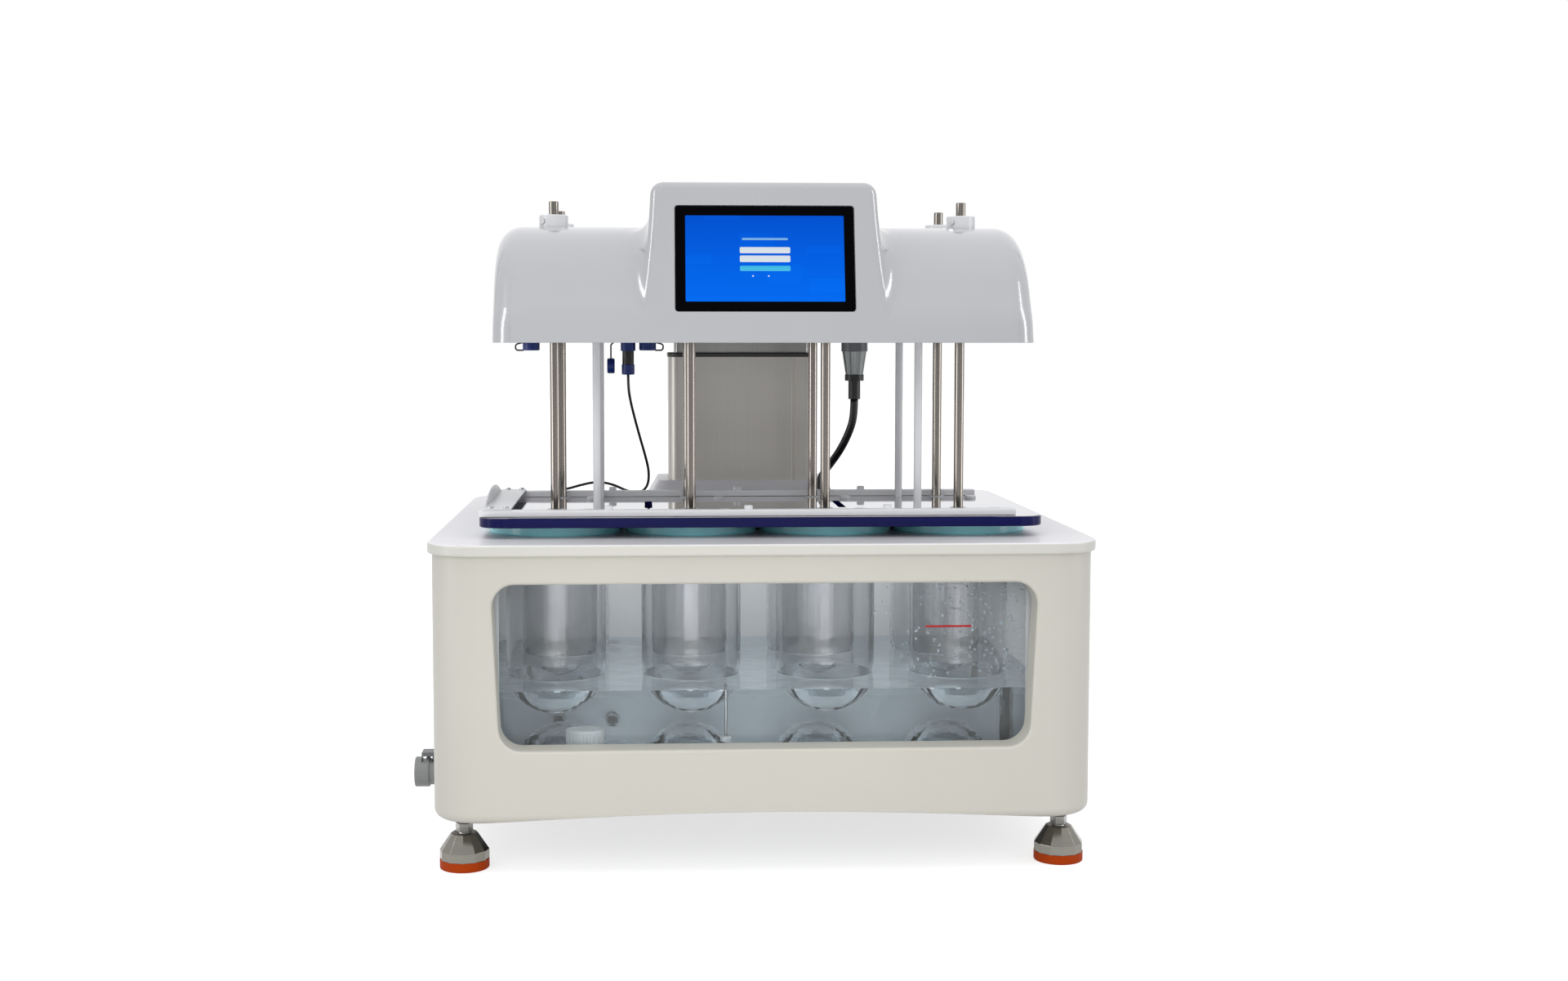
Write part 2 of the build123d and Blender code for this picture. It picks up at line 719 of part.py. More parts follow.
with BuildPart() as column_outer:
    with BuildSketch(level(tray_top)):
        with Locations((0, column_y)):
            RectangleRounded(column_width, column_depth, column_round)
            RectangleRounded(
                column_width - 2 * column_wall, column_depth - 2 * column_wall,
                column_round - column_wall, mode=Mode.SUBTRACT,
            )
        with Locations(*[
            (side * column_groove_x, column_y + end * column_depth / 2)
            for side in (-1, 1) for end in (-1, 1)
        ]):
            Rectangle(column_groove, column_wall / 2, mode=Mode.SUBTRACT)
    extrude(amount=outer_height - column_collar_height - fit_gap)
    with BuildSketch(level(column_top - column_collar_height)):
        with Locations((0, column_y)):
            RectangleRounded(
                column_width + 2 * column_collar_proud, column_depth + 2 * column_collar_proud,
                column_round + column_collar_proud,
            )
            RectangleRounded(
                column_width - 2 * (column_wall + stage_gap - running_gap),
                column_depth - 2 * (column_wall + stage_gap - running_gap),
                column_round - column_wall - stage_gap + running_gap, mode=Mode.SUBTRACT,
            )
    extrude(amount=column_collar_height)
    chamfer(column_outer.faces().sort_by(Axis.Z)[-1].outer_wire().edges(), column_collar_proud)
finish(column_outer, "column_outer")

# Moulded skirt round the foot of the column, with a boss for the power cable on its sloping
# front and a loose grommet of the same moulding in the deck for the signal cable.
skirt_width = 234.0
skirt_depth = 152.0
skirt_top_width = 204.0
skirt_top_depth = 122.0
skirt_height = 27.0
skirt_wall = 3.0
skirt_corner = 16.0
power_cable_radius = 4.5
signal_cable_radius = 1.5
power_boss_x = 91.0
power_boss_rise = 15.0
power_boss_radius = 8.0
power_boss_length = 8.0
skirt_run = (skirt_depth - skirt_top_depth) / 2
skirt_foot_y = column_y - skirt_depth / 2
skirt_out = Vector(0, -skirt_height, skirt_run).normalized()
boss_root = Vector(
    machine_x + power_boss_x, skirt_foot_y + power_boss_rise * skirt_run / skirt_height,
    deck_top + power_boss_rise,
)
boss_face = boss_root + skirt_out * power_boss_length
grommet_flange = 2.0
grommet_flange_radius = 7.5

with BuildPart() as column_skirt:
    with BuildSketch(level(deck_top)):
        with Locations((0, column_y)):
            RectangleRounded(skirt_width, skirt_depth, skirt_corner)
    with BuildSketch(level(deck_top + skirt_height)):
        with Locations((0, column_y)):
            RectangleRounded(skirt_top_width, skirt_top_depth, skirt_corner)
    loft()
    with BuildSketch(level(deck_top - overrun)):
        with Locations((0, column_y)):
            RectangleRounded(
                skirt_width - 4 * skirt_wall, skirt_depth - 4 * skirt_wall, skirt_corner
            )
    with BuildSketch(level(deck_top + skirt_height - skirt_wall)):
        with Locations((0, column_y)):
            RectangleRounded(
                skirt_top_width - 3 * skirt_wall, skirt_top_depth - 3 * skirt_wall, skirt_corner
            )
    loft(mode=Mode.SUBTRACT)
    with BuildSketch(level(deck_top)):
        with Locations((0, column_y)):
            RectangleRounded(
                column_width + 2 * running_gap, column_depth + 2 * running_gap,
                column_round + running_gap,
            )
    extrude(amount=skirt_height + overrun, mode=Mode.SUBTRACT)
    with BuildSketch(Plane(origin=boss_root - skirt_out * skirt_wall / 2, z_dir=skirt_out)):
        Circle(power_boss_radius)
    extrude(amount=power_boss_length + skirt_wall / 2)
    with BuildSketch(level(deck_top)):
        with Locations((signal_gland_x, signal_gland_y)):
            Circle(grommet_flange_radius)
    extrude(amount=grommet_flange)
    with BuildSketch(level(deck_top)):
        with Locations((signal_gland_x, signal_gland_y)):
            Circle(gland_hole_radius)
    extrude(amount=-deck_thickness)
finish(column_skirt, "column_skirt")

# Lift drive inside the column: gear motor at the bottom and a lead screw above it.
motor_width = 76.0
motor_depth = 62.0
motor_height = 96.0
screw_core_radius = 8.0
screw_start_radius = 5.0
lift_motor_top = tray_top + motor_height
motor_bore_depth = 24.0
screw_start_length = 19.2
nut_height = 26.0
stage_spare = 10.4
inner_foot = lift_motor_top + lift_down + stage_spare
screw_spare = 15.0
screw_length = inner_foot + nut_height + lift_up + screw_spare - lift_motor_top

with BuildPart() as lift_motor:
    with BuildSketch(level(tray_top)):
        with Locations((0, column_y)):
            RectangleRounded(motor_width, motor_depth, body_round)
    extrude(amount=motor_height)
    fillet(lift_motor.faces().sort_by(Axis.Z)[-1].edges(), body_round / 2)
    with BuildSketch(level(lift_motor_top)):
        with Locations((0, column_y)):
            Circle(screw_start_radius + running_gap)
    extrude(amount=-motor_bore_depth, mode=Mode.SUBTRACT)
finish(lift_motor, "lift_motor")

with BuildPart() as lift_screw:
    with BuildSketch(level(lift_motor_top + running_gap)):
        with Locations((0, column_y)):
            Circle(screw_core_radius)
    extrude(amount=screw_length)
    chamfer(lift_screw.faces().sort_by(Axis.Z)[-1].edges(), loose_gap)
    with BuildSketch(level(lift_motor_top + running_gap)):
        with Locations((0, column_y)):
            Circle(screw_start_radius)
    extrude(amount=-screw_start_length)
finish(lift_screw, "lift_screw")

# Mains inlet and rocker switch in the back wall of the housing.
inlet_face = 3.0
inlet_body = 34.0
inlet_margin = 4.0
socket_width, socket_height, socket_depth = 24.0, 17.0, 18.0
socket_drop = 13.0
switch_rise = 15.0
pin_width, pin_height, pin_length = 2.0, 4.25, 12.0
pin_spread = 6.0
pin_shift = 1.4
socket_z = inlet_z - socket_drop
switch_z = inlet_z + switch_rise
rocker_width, rocker_height, rocker_thickness = 20.0, 13.0, 5.0
rocker_angle = 8.0
rocker_foot_share = 0.75
back_face = -housing_front

with BuildPart() as power_inlet:
    with BuildSketch(upright(back_face)):
        with Locations((inlet_x, inlet_z)):
            RectangleRounded(
                inlet_width + 2 * inlet_margin, inlet_height + 2 * inlet_margin, inlet_margin
            )
    extrude(amount=-inlet_face)
    with BuildSketch(upright(back_face)):
        with Locations((inlet_x, inlet_z)):
            Rectangle(inlet_width - 2 * loose_gap, inlet_height - 2 * loose_gap)
    extrude(amount=inlet_body)
    with BuildSketch(upright(back_face + inlet_face)):
        with Locations((inlet_x, socket_z)):
            Rectangle(socket_width, socket_height)
    extrude(amount=socket_depth, mode=Mode.SUBTRACT)
    with BuildSketch(upright(back_face + inlet_face)):
        with Locations((inlet_x, switch_z)):
            Rectangle(rocker_width + 2 * running_gap, rocker_height + 2 * loose_gap)
    extrude(amount=socket_depth, mode=Mode.SUBTRACT)
    with BuildSketch(upright(back_face + inlet_face - socket_depth)):
        with Locations(
            (inlet_x - pin_spread, socket_z + pin_shift), (inlet_x, socket_z - pin_shift),
            (inlet_x + pin_spread, socket_z + pin_shift),
        ):
            Rectangle(pin_width, pin_height)
    extrude(amount=-pin_length)
finish(power_inlet, "power_inlet")

with BuildPart() as power_switch:
    with BuildSketch(lengthwise(inlet_x)):
        with BuildLine():
            half, proud = rocker_height / 2, inlet_face + rocker_thickness / 2
            slope = proud * tan(radians(rocker_angle))
            Polyline(
                (back_face - rocker_thickness, switch_z - half * rocker_foot_share),
                (back_face + proud - slope, switch_z - half + slope),
                (back_face + proud - 2 * slope, switch_z),
                (back_face + proud + slope, switch_z + half - slope),
                (back_face - rocker_thickness, switch_z + half * rocker_foot_share),
                close=True,
            )
        make_face()
    extrude(amount=rocker_width / 2, both=True)
finish(power_switch, "power_switch")

# Head: a moulded hood over the drive, with a raked console for the display.
head_front_setback = 13.0
head_back_reach = 12.0
head_overhang = 55.0
head_front = deck_front + head_front_setback
head_back = column_y + column_depth / 2 + head_back_reach
head_width = row_span + 2 * head_overhang
head_wall = 4.0
wing_height = 117.5
wing_top = head_bottom + wing_height
console_rake = 14.0
console_length = 164.0
console_top_width = 222.0
console_foot_width = 256.0
console_corner = 13.0
console_round = 9.0
console_thickness = 58.0
console_blend = 24.0
rake_height = 16.0
wing_lean = 31.0
swell_radius = 70.0
shoulder_radius = 116.0
nape_radius = 26.0
cheek_radius = 24.0
rake = radians(console_rake)
lean = radians(wing_lean)


def wing_form(inset, drop):
    """Body of the hood from side to side: raked foot, leaning front and rounded shoulder."""
    front, back, top = head_front + inset / cos(rake), head_back - inset, wing_top - inset
    low = head_bottom - drop
    small, large = swell_radius - inset, shoulder_radius - inset
    foot_top = head_bottom + rake_height
    rise = top - large * (1 - sin(lean)) - foot_top - small * (sin(lean) - sin(rake))
    with BuildPart() as form:
        with BuildSketch(lengthwise(0)):
            with BuildLine():
                foot = Line(
                    (front - drop * tan(rake), low), (front + rake_height * tan(rake), foot_top)
                )
                swell = JernArc(foot @ 1, foot % 1, small, console_rake - wing_lean)
                slope = Line(swell @ 1, swell @ 1 + (swell % 1) * (rise / cos(lean)))
                shoulder = JernArc(slope @ 1, slope % 1, large, wing_lean - 90)
                crown = Line(shoulder @ 1, (back - nape_radius + inset, top))
                nape = JernArc(crown @ 1, crown % 1, nape_radius - inset, -90)
                rear = Line(nape @ 1, (back, low))
                Line(rear @ 1, foot @ 0)
            make_face()
        extrude(amount=head_width / 2 - inset, both=True)
        rim = form.faces().filter_by(Axis.X).edges()
        fillet(rim.filter_by(lambda e: e.center().Z > low + fit_gap), cheek_radius - inset)
    return form.part


def console_plane(depth):
    """Plane of the console's raked front, depth behind its face; sketch y runs up the slope."""
    return Plane(
        origin=(machine_x, head_front + depth * cos(rake), head_bottom - depth * sin(rake)),
        x_dir=(1, 0, 0), z_dir=(0, -cos(rake), sin(rake)),
    )


def console_form(inset, drop):
    """Raked console with curved flanks and rounded edges."""
    with BuildPart() as form:
        with BuildSketch(console_plane(inset)) as face:
            foot, top = console_foot_width / 2 - inset, console_top_width / 2 - inset
            waist = (foot + 2 * top) / 3
            height = console_length - inset
            with BuildLine():
                right = ThreePointArc((foot, -drop), (waist, height / 2), (top, height))
                left = ThreePointArc((-top, height), (-waist, height / 2), (-foot, -drop))
                Line(right @ 1, left @ 0)
                Line(left @ 1, right @ 0)
            make_face()
            fillet(face.vertices().group_by(Axis.Y)[-1], console_corner - inset)
        extrude(amount=-(console_thickness - 2 * inset))
        ends = form.faces().filter_by(
            lambda f: abs(f.normal_at().Y) > cos(2 * rake) and f.area > console_length ** 2
        )
        rim = ends.edges().filter_by(lambda e: e.center().Z > head_bottom + rake_height)
        fillet(rim, console_round - inset)
    return form.part


hub_radius = 14.75
hub_gap = 2.0
bezel_width, bezel_height, bezel_corner = 175.0, 106.0, 3.0
bezel_foot = 31.5
bezel_recess = 2.5
bezel_gap = 0.6
screen_width, screen_height = 155.0, 86.5
bezel_middle = bezel_foot + bezel_height / 2

hood = wing_form(0, 0)
console = console_form(0, 0)

with BuildPart() as head_shell:
    add(hood)
    add(console)
    seam = new_edges(hood, console, combined=head_shell.part)
    fillet(seam.filter_by(lambda e: e.center().Z > head_bottom + 2 * rake_height), console_blend)
    add(wing_form(head_wall, overrun), mode=Mode.SUBTRACT)
    add(console_form(head_wall, overrun), mode=Mode.SUBTRACT)
    with BuildSketch(level(wing_top - 2 * head_wall)):
        with Locations(*stations):
            Circle(hub_radius + hub_gap)
    extrude(amount=3 * head_wall, mode=Mode.SUBTRACT)
    with BuildSketch(console_plane(0)):
        with Locations((0, bezel_middle)):
            RectangleRounded(
                bezel_width + 2 * bezel_gap, bezel_height + 2 * bezel_gap, bezel_corner + bezel_gap
            )
    extrude(amount=overrun, mode=Mode.SUBTRACT)
    with BuildSketch(console_plane(bezel_recess)):
        with Locations((0, bezel_middle)):
            RectangleRounded(
                bezel_width + 2 * bezel_gap, bezel_height + 2 * bezel_gap, bezel_corner + bezel_gap
            )
    extrude(amount=bezel_recess + overrun, mode=Mode.SUBTRACT)
    with BuildSketch(console_plane(2 * head_wall)):
        with Locations((0, bezel_middle)):
            Rectangle(screen_width, screen_height)
    extrude(amount=2 * head_wall, mode=Mode.SUBTRACT)
    with BuildSketch(level(head_bottom)):
        Rectangle(2 * head_width, 2 * head_width)
    extrude(amount=-console_thickness, mode=Mode.SUBTRACT)
finish(head_shell, "head_shell")

# Touch display: one glass front with its module behind it.
panel_thickness = 7.0
glass_sink = 0.8

with BuildPart() as touch_display:
    with BuildSketch(console_plane(bezel_recess)):
        with Locations((0, bezel_middle)):
            RectangleRounded(bezel_width, bezel_height, bezel_corner)
    extrude(amount=bezel_recess - glass_sink)
    with BuildSketch(console_plane(bezel_recess)):
        with Locations((0, bezel_middle)):
            Rectangle(screen_width - 2 * fit_gap, screen_height - 2 * fit_gap)
    extrude(amount=-panel_thickness)
finish(touch_display, "touch_display")

# Head frame: base plate, two cheeks and a bridge that hangs on the inner column stage.
frame_plate = 6.0
frame_rise = 3.5
frame_z = head_bottom + frame_rise
frame_top = frame_z + frame_plate
frame_gap = 1.0
frame_front_gap = 10.0
frame_front = head_front + frame_front_gap
frame_back = head_back - head_wall - frame_gap
frame_width = head_width - 2 * (head_wall + frame_gap)
frame_corner = cheek_radius - head_wall
column_way = 3.0
cheek_sheet = 6.0
bridge_gap = 7.0
bridge_z = wing_top - head_wall - frame_plate - bridge_gap
inner_width = column_width - 2 * (column_wall + stage_gap)
inner_depth = column_depth - 2 * (column_wall + stage_gap)
inner_wall = 4.0
inner_round = column_round - column_wall - stage_gap + 2 * fit_gap
way_width = column_width + 2 * (column_collar_proud + column_way)
way_depth = column_depth + 2 * (column_collar_proud + column_way)
bearing_radius = 16.0
bearing_height = 24.0
bearing_flange_radius = 21.0
bearing_flange = 4.0
sleeve_radius = 8.5
socket_setback = 50.5
socket_y = rear_row_y + socket_setback
signal_socket_xs = (-246.2, -136.5, -114.3)
signal_socket_radius = 6.0
power_socket_x = 122.3
power_socket_radius = 11.0

with BuildPart() as head_frame:
    with BuildSketch(level(frame_z)):
        with Locations((0, (frame_front + frame_back) / 2)):
            RectangleRounded(frame_width, frame_back - frame_front, frame_corner)
        with Locations((0, column_y)):
            Rectangle(way_width, way_depth, mode=Mode.SUBTRACT)
        with Locations(*stations):
            Circle(sleeve_radius + 2 * hub_gap, mode=Mode.SUBTRACT)
        with Locations(*probe_places):
            Circle(probe_radius + fit_gap, mode=Mode.SUBTRACT)
        with Locations(*[(x, socket_y) for x in signal_socket_xs]):
            Circle(signal_socket_radius + fit_gap, mode=Mode.SUBTRACT)
        with Locations((power_socket_x, socket_y)):
            Circle(power_socket_radius + fit_gap, mode=Mode.SUBTRACT)
    extrude(amount=frame_plate)
    with BuildSketch(level(frame_z)):
        with Locations(*[
            (side * (way_width + cheek_sheet) / 2, column_y) for side in (-1, 1)
        ]):
            Rectangle(cheek_sheet, way_depth - 2 * cheek_sheet)
    extrude(amount=bridge_z + frame_plate - frame_z)
    with BuildSketch(level(bridge_z)):
        with Locations((0, column_y)):
            Rectangle(way_width + 2 * cheek_sheet, way_depth - 2 * cheek_sheet)
    extrude(amount=frame_plate)
finish(head_frame, "head_frame")

with BuildPart() as column_inner:
    with BuildSketch(level(inner_foot)):
        with Locations((0, column_y)):
            RectangleRounded(inner_width, inner_depth, inner_round)
            RectangleRounded(
                inner_width - 2 * inner_wall, inner_depth - 2 * inner_wall,
                inner_round - inner_wall / 2, mode=Mode.SUBTRACT,
            )
    extrude(amount=bridge_z - inner_foot)
    with BuildSketch(level(inner_foot)):
        with Locations((0, column_y)):
            RectangleRounded(
                inner_width - 2 * (inner_wall + fit_gap), inner_depth - 2 * (inner_wall + fit_gap),
                inner_round,
            )
            Circle(screw_core_radius + fit_gap / 2, mode=Mode.SUBTRACT)
    extrude(amount=nut_height)
finish(column_inner, "column_inner")

# Spindle bearings on the base plate, one for each hollow spindle.
with BuildPart() as spindle_bearings:
    with BuildSketch(level(frame_top)):
        with Locations(*stations):
            Circle(bearing_flange_radius)
    extrude(amount=bearing_flange)
    with BuildSketch(level(frame_top)):
        with Locations(*stations):
            Circle(bearing_radius)
    extrude(amount=bearing_height)
    with BuildSketch(level(frame_top)):
        with Locations(*stations):
            Circle(sleeve_radius + fit_gap)
    extrude(amount=bearing_height, mode=Mode.SUBTRACT)
finish(spindle_bearings, "spindle_bearings")

# Hollow spindles: sleeve, belt pulley and the white chuck that clamps the shaft on top.
pulley_radius = 18.0
pulley_height = 10.0
pulley_gap = 2.0
belt_thickness = 2.0
belt_width = 8.0
row_pulley_z = frame_top + bearing_height + pulley_gap
cross_pulley_z = row_pulley_z + pulley_height + pulley_gap
chuck_sink = 1.0
chuck_rise = 12.5
chuck_foot = wing_top - chuck_sink
chuck_top = wing_top + chuck_rise
chuck_round = 0.8
shaft_gap = 0.1
cross_station_x = station_xs[1]
clamp_radius = 3.0
clamp_proud = 1.6
clamp_drop = 6.5
clamp_z = chuck_top - clamp_drop
clamp_angle = radians(225.0)
clamp_out = Vector(cos(clamp_angle), sin(clamp_angle), 0)

shaft_rise = 26.5
shaft_chamfer = 0.5
shaft_top = wing_top + shaft_rise
blade_top_width = 74.5
blade_foot_width = 42.0
blade_height = 19.0
blade_thickness = 4.0
blade_side_radius = 41.5
blade_lift = 25.0
blade_bottom = vessel_bottom + vessel_wall + blade_lift + lift_down

for number, (x, y) in enumerate(stations, start=1):
    with BuildPart() as drive_hub:
        with BuildSketch(level(frame_z)):
            with Locations((x, y)):
                Circle(sleeve_radius)
        extrude(amount=chuck_top - frame_z)
        with BuildSketch(level(row_pulley_z)):
            with Locations((x, y)):
                Circle(pulley_radius)
        extrude(amount=pulley_height)
        if x == cross_station_x:
            with BuildSketch(level(cross_pulley_z)):
                with Locations((x, y)):
                    Circle(pulley_radius)
            extrude(amount=pulley_height)
        with BuildSketch(level(chuck_foot)):
            with Locations((x, y)):
                Circle(hub_radius)
        extrude(amount=chuck_top - chuck_foot)
        chamfer(drive_hub.faces().sort_by(Axis.Z)[-1].edges(), chuck_round)
        with BuildSketch(level(frame_z)):
            with Locations((x, y)):
                Circle(shaft_radius + shaft_gap)
        extrude(amount=chuck_top - frame_z, mode=Mode.SUBTRACT)
        clamp_root = Vector(machine_x + x, y, clamp_z) + clamp_out * (hub_radius - clamp_proud)
        with BuildSketch(Plane(origin=clamp_root, z_dir=clamp_out)):
            Circle(clamp_radius)
        extrude(amount=2 * clamp_proud)
    finish(drive_hub, f"drive_hub_{number}")

    with BuildPart() as paddle:
        with BuildSketch(level(blade_bottom)):
            with Locations((x, y)):
                Circle(shaft_radius)
        extrude(amount=shaft_top - blade_bottom)
        chamfer(paddle.faces().sort_by(Axis.Z)[-1].edges(), shaft_chamfer)
        with BuildSketch(upright(y)):
            with BuildLine():
                left_top = (x - blade_top_width / 2, blade_bottom + blade_height)
                right_top = (x + blade_top_width / 2, blade_bottom + blade_height)
                left_low = (x - blade_foot_width / 2, blade_bottom)
                right_low = (x + blade_foot_width / 2, blade_bottom)
                Line(left_top, right_top)
                RadiusArc(right_top, right_low, blade_side_radius)
                Line(right_low, left_low)
                RadiusArc(left_low, left_top, blade_side_radius)
            make_face()
        extrude(amount=blade_thickness / 2, both=True)
    finish(paddle, f"paddle_{number}")

# Belts: one loop for each row and a cross loop from both rows to the motor.
motor_setback = 84.0
motor_station = (cross_station_x, rear_row_y + motor_setback)
drive_motor_width = 57.0
drive_motor_corner = 5.0
motor_shaft_radius = 4.0


def belt_loop(ends):
    """Ring outline of a belt round two equal pulleys."""
    (x0, y0), (x1, y1) = ends
    length = hypot(x1 - x0, y1 - y0) + 2 * (pulley_radius + running_gap)
    turn = degrees(atan2(y1 - y0, x1 - x0))
    width = 2 * (pulley_radius + running_gap)
    with BuildSketch() as loop:
        with Locations(Location(((x0 + x1) / 2, (y0 + y1) / 2, 0), (0, 0, turn))):
            SlotOverall(length + 2 * belt_thickness, width + 2 * belt_thickness)
            SlotOverall(length, width, mode=Mode.SUBTRACT)
    return loop.sketch


belt_inset = (pulley_height - belt_width) / 2

with BuildPart() as drive_belts:
    for y in row_ys:
        with BuildSketch(level(row_pulley_z + belt_inset)):
            add(belt_loop(((station_xs[0], y), (station_xs[-1], y))))
        extrude(amount=belt_width)
    with BuildSketch(level(cross_pulley_z + belt_inset)):
        add(belt_loop(((cross_station_x, front_row_y), motor_station)))
    extrude(amount=belt_width)
finish(drive_belts, "drive_belts")

drive_motor_top = cross_pulley_z - pulley_gap

with BuildPart() as drive_motor:
    with BuildSketch(level(frame_top)):
        with Locations(motor_station):
            RectangleRounded(drive_motor_width, drive_motor_width, drive_motor_corner)
    extrude(amount=drive_motor_top - frame_top)
    with BuildSketch(level(drive_motor_top)):
        with Locations(motor_station):
            Circle(motor_shaft_radius + fit_gap)
    extrude(amount=-pulley_height, mode=Mode.SUBTRACT)
finish(drive_motor, "drive_motor")

with BuildPart() as motor_pulley:
    with BuildSketch(level(cross_pulley_z)):
        with Locations(motor_station):
            Circle(pulley_radius)
    extrude(amount=pulley_height)
    with BuildSketch(level(drive_motor_top - pulley_height + running_gap)):
        with Locations(motor_station):
            Circle(motor_shaft_radius)
    extrude(amount=cross_pulley_z + pulley_height - drive_motor_top + pulley_height)
finish(motor_pulley, "motor_pulley")

# White probe rods beside the outer vessels, held in the head's base plate.
probe_rise = 13.5
probe_hold = 12.0
probe_bottom = blade_bottom + probe_rise
probe_top = frame_top + probe_hold
probe_collar_radius = 8.0
probe_tip = 1.5

with BuildPart() as probe_rods:
    with BuildSketch(level(probe_bottom)):
        with Locations(*probe_places):
            Circle(probe_radius)
    extrude(amount=probe_top - probe_bottom)
    fillet(probe_rods.faces().group_by(Axis.Z)[0].edges(), probe_tip)
    with BuildSketch(level(frame_top)):
        with Locations(*probe_places):
            Circle(probe_collar_radius)
    extrude(amount=(probe_top - frame_top) / 2)
finish(probe_rods, "probe_rods")

# Round signal sockets under the head, two of them capped; the plug is in the third.
socket_flange_radius = 9.0
socket_flange = 2.0
cap_radius = 9.6
cap_height = 11.0
cap_round = 1.5
plug_nut_radius, plug_nut_height = 8.4, 11.5
plug_body_radius, plug_body_height = 6.6, 15.5
plug_ring_radius, plug_ring_height = 7.3, 11.5
plug_x = signal_socket_xs[1]
cap_xs = (signal_socket_xs[0], signal_socket_xs[2])
loose_cap_offset = 19.5
loose_cap_drop = 27.0
loose_cap_x, loose_cap_y = plug_x - loose_cap_offset, socket_y
loose_cap_z = head_bottom - loose_cap_drop
loose_cap_height = 8.5
loose_cap_radius = 8.6
tether_radius = 0.9
tether_loop = 9.0
socket_face = frame_z - socket_flange
nut_low = socket_face - plug_nut_height
plug_bottom = nut_low - plug_body_height - plug_ring_height

with BuildPart() as signal_sockets:
    with BuildSketch(level(socket_face)):
        with Locations(*[(x, socket_y) for x in signal_socket_xs]):
            Circle(socket_flange_radius)
    extrude(amount=socket_flange)
    with BuildSketch(level(frame_z)):
        with Locations(*[(x, socket_y) for x in signal_socket_xs]):
            Circle(signal_socket_radius)
    extrude(amount=2 * frame_plate)
finish(signal_sockets, "signal_sockets")


def tether(points):
    """Thin moulded strap from a socket to its cap, a closed bent rod."""
    with BuildPart() as strap:
        with BuildLine():
            FilletPolyline(*points, radius=tether_loop / 3)
        start = Vector(*points[0])
        with BuildSketch(Plane(origin=start, z_dir=Vector(*points[1]) - start)):
            Circle(tether_radius)
        sweep()
    return strap.part


with BuildPart() as socket_caps:
    with BuildSketch(level(socket_face)):
        with Locations(*[(x, socket_y) for x in cap_xs]):
            Circle(cap_radius)
    extrude(amount=-cap_height)
    fillet(socket_caps.faces().group_by(Axis.Z)[0].edges(), cap_round)
    strap_z = socket_face - tether_radius * 2
    for x, reach in ((cap_xs[0], -1), (cap_xs[1], 1)):
        edge = machine_x + x + reach * (cap_radius - tether_radius)
        add(tether((
            (edge, socket_y, strap_z),
            (edge + reach * tether_loop, socket_y, strap_z - tether_loop / 4),
            (edge + reach * tether_loop, socket_y, strap_z - tether_loop),
            (edge, socket_y, strap_z - tether_loop),
        )))
    with BuildSketch(Plane(
        origin=(machine_x + loose_cap_x, loose_cap_y, loose_cap_z), z_dir=(1, 0, 0)
    )):
        Circle(loose_cap_radius)
    extrude(amount=loose_cap_height / 2, both=True)
    loose_ends = socket_caps.faces().filter_by(Axis.X).filter_by(
        lambda f: f.area > pi * plug_body_radius ** 2
    )
    fillet(loose_ends.edges(), cap_round)
    strap_x = machine_x + plug_x - socket_flange_radius
    cap_edge = loose_cap_z + loose_cap_radius
    add(tether((
        (strap_x, socket_y, socket_face - tether_radius - running_gap),
        (strap_x - tether_loop * 3 / 4, socket_y, socket_face - tether_radius - running_gap),
        (machine_x + loose_cap_x, socket_y, socket_face - tether_loop / 2),
        (machine_x + loose_cap_x, socket_y, cap_edge - cap_round),
    )))
finish(socket_caps, "socket_caps")

# Plugs: a slim signal plug, and a large one of ring, tapered metal shell and rubber sleeve.
connector_ring_radius, connector_ring_height = 15.0, 14.0
connector_taper_radius, connector_taper_height = 10.0, 26.5
connector_collar_radius, connector_collar_height = 10.8, 7.0
connector_sleeve_radius, connector_sleeve_height = 6.8, 21.0
ring_low = frame_z - connector_ring_height
taper_low = ring_low - connector_taper_height
collar_low = taper_low - connector_collar_height
sleeve_low = collar_low - connector_sleeve_height

with BuildPart() as cable_plugs:
    with BuildSketch(level(socket_face)):
        with Locations((plug_x, socket_y)):
            Circle(plug_nut_radius)
    extrude(amount=-plug_nut_height)
    with BuildSketch(level(nut_low)):
        with Locations((plug_x, socket_y)):
            Circle(plug_body_radius)
    extrude(amount=-plug_body_height)
    with BuildSketch(level(nut_low - plug_body_height)):
        with Locations((plug_x, socket_y)):
            Circle(plug_ring_radius)
    extrude(amount=-plug_ring_height)
    fillet(cable_plugs.faces().sort_by(Axis.Z)[0].edges(), cap_round)
    with BuildSketch(level(frame_z)):
        with Locations((power_socket_x, socket_y)):
            Circle(connector_ring_radius)
    extrude(amount=-connector_ring_height)
    with BuildSketch(level(ring_low)):
        with Locations((power_socket_x, socket_y)):
            Circle(connector_ring_radius - loose_gap)
    with BuildSketch(level(taper_low)):
        with Locations((power_socket_x, socket_y)):
            Circle(connector_taper_radius)
    loft()
    with BuildSketch(level(taper_low)):
        with Locations((power_socket_x, socket_y)):
            Circle(connector_collar_radius)
    extrude(amount=-connector_collar_height)
    with BuildSketch(level(collar_low)):
        with Locations((power_socket_x, socket_y)):
            Circle(connector_sleeve_radius)
    extrude(amount=-connector_sleeve_height)
    with BuildSketch(level(frame_z)):
        with Locations((power_socket_x, socket_y)):
            Circle(power_socket_radius)
    extrude(amount=2 * frame_plate)
finish(cable_plugs, "cable_plugs")


bend_share = 0.45


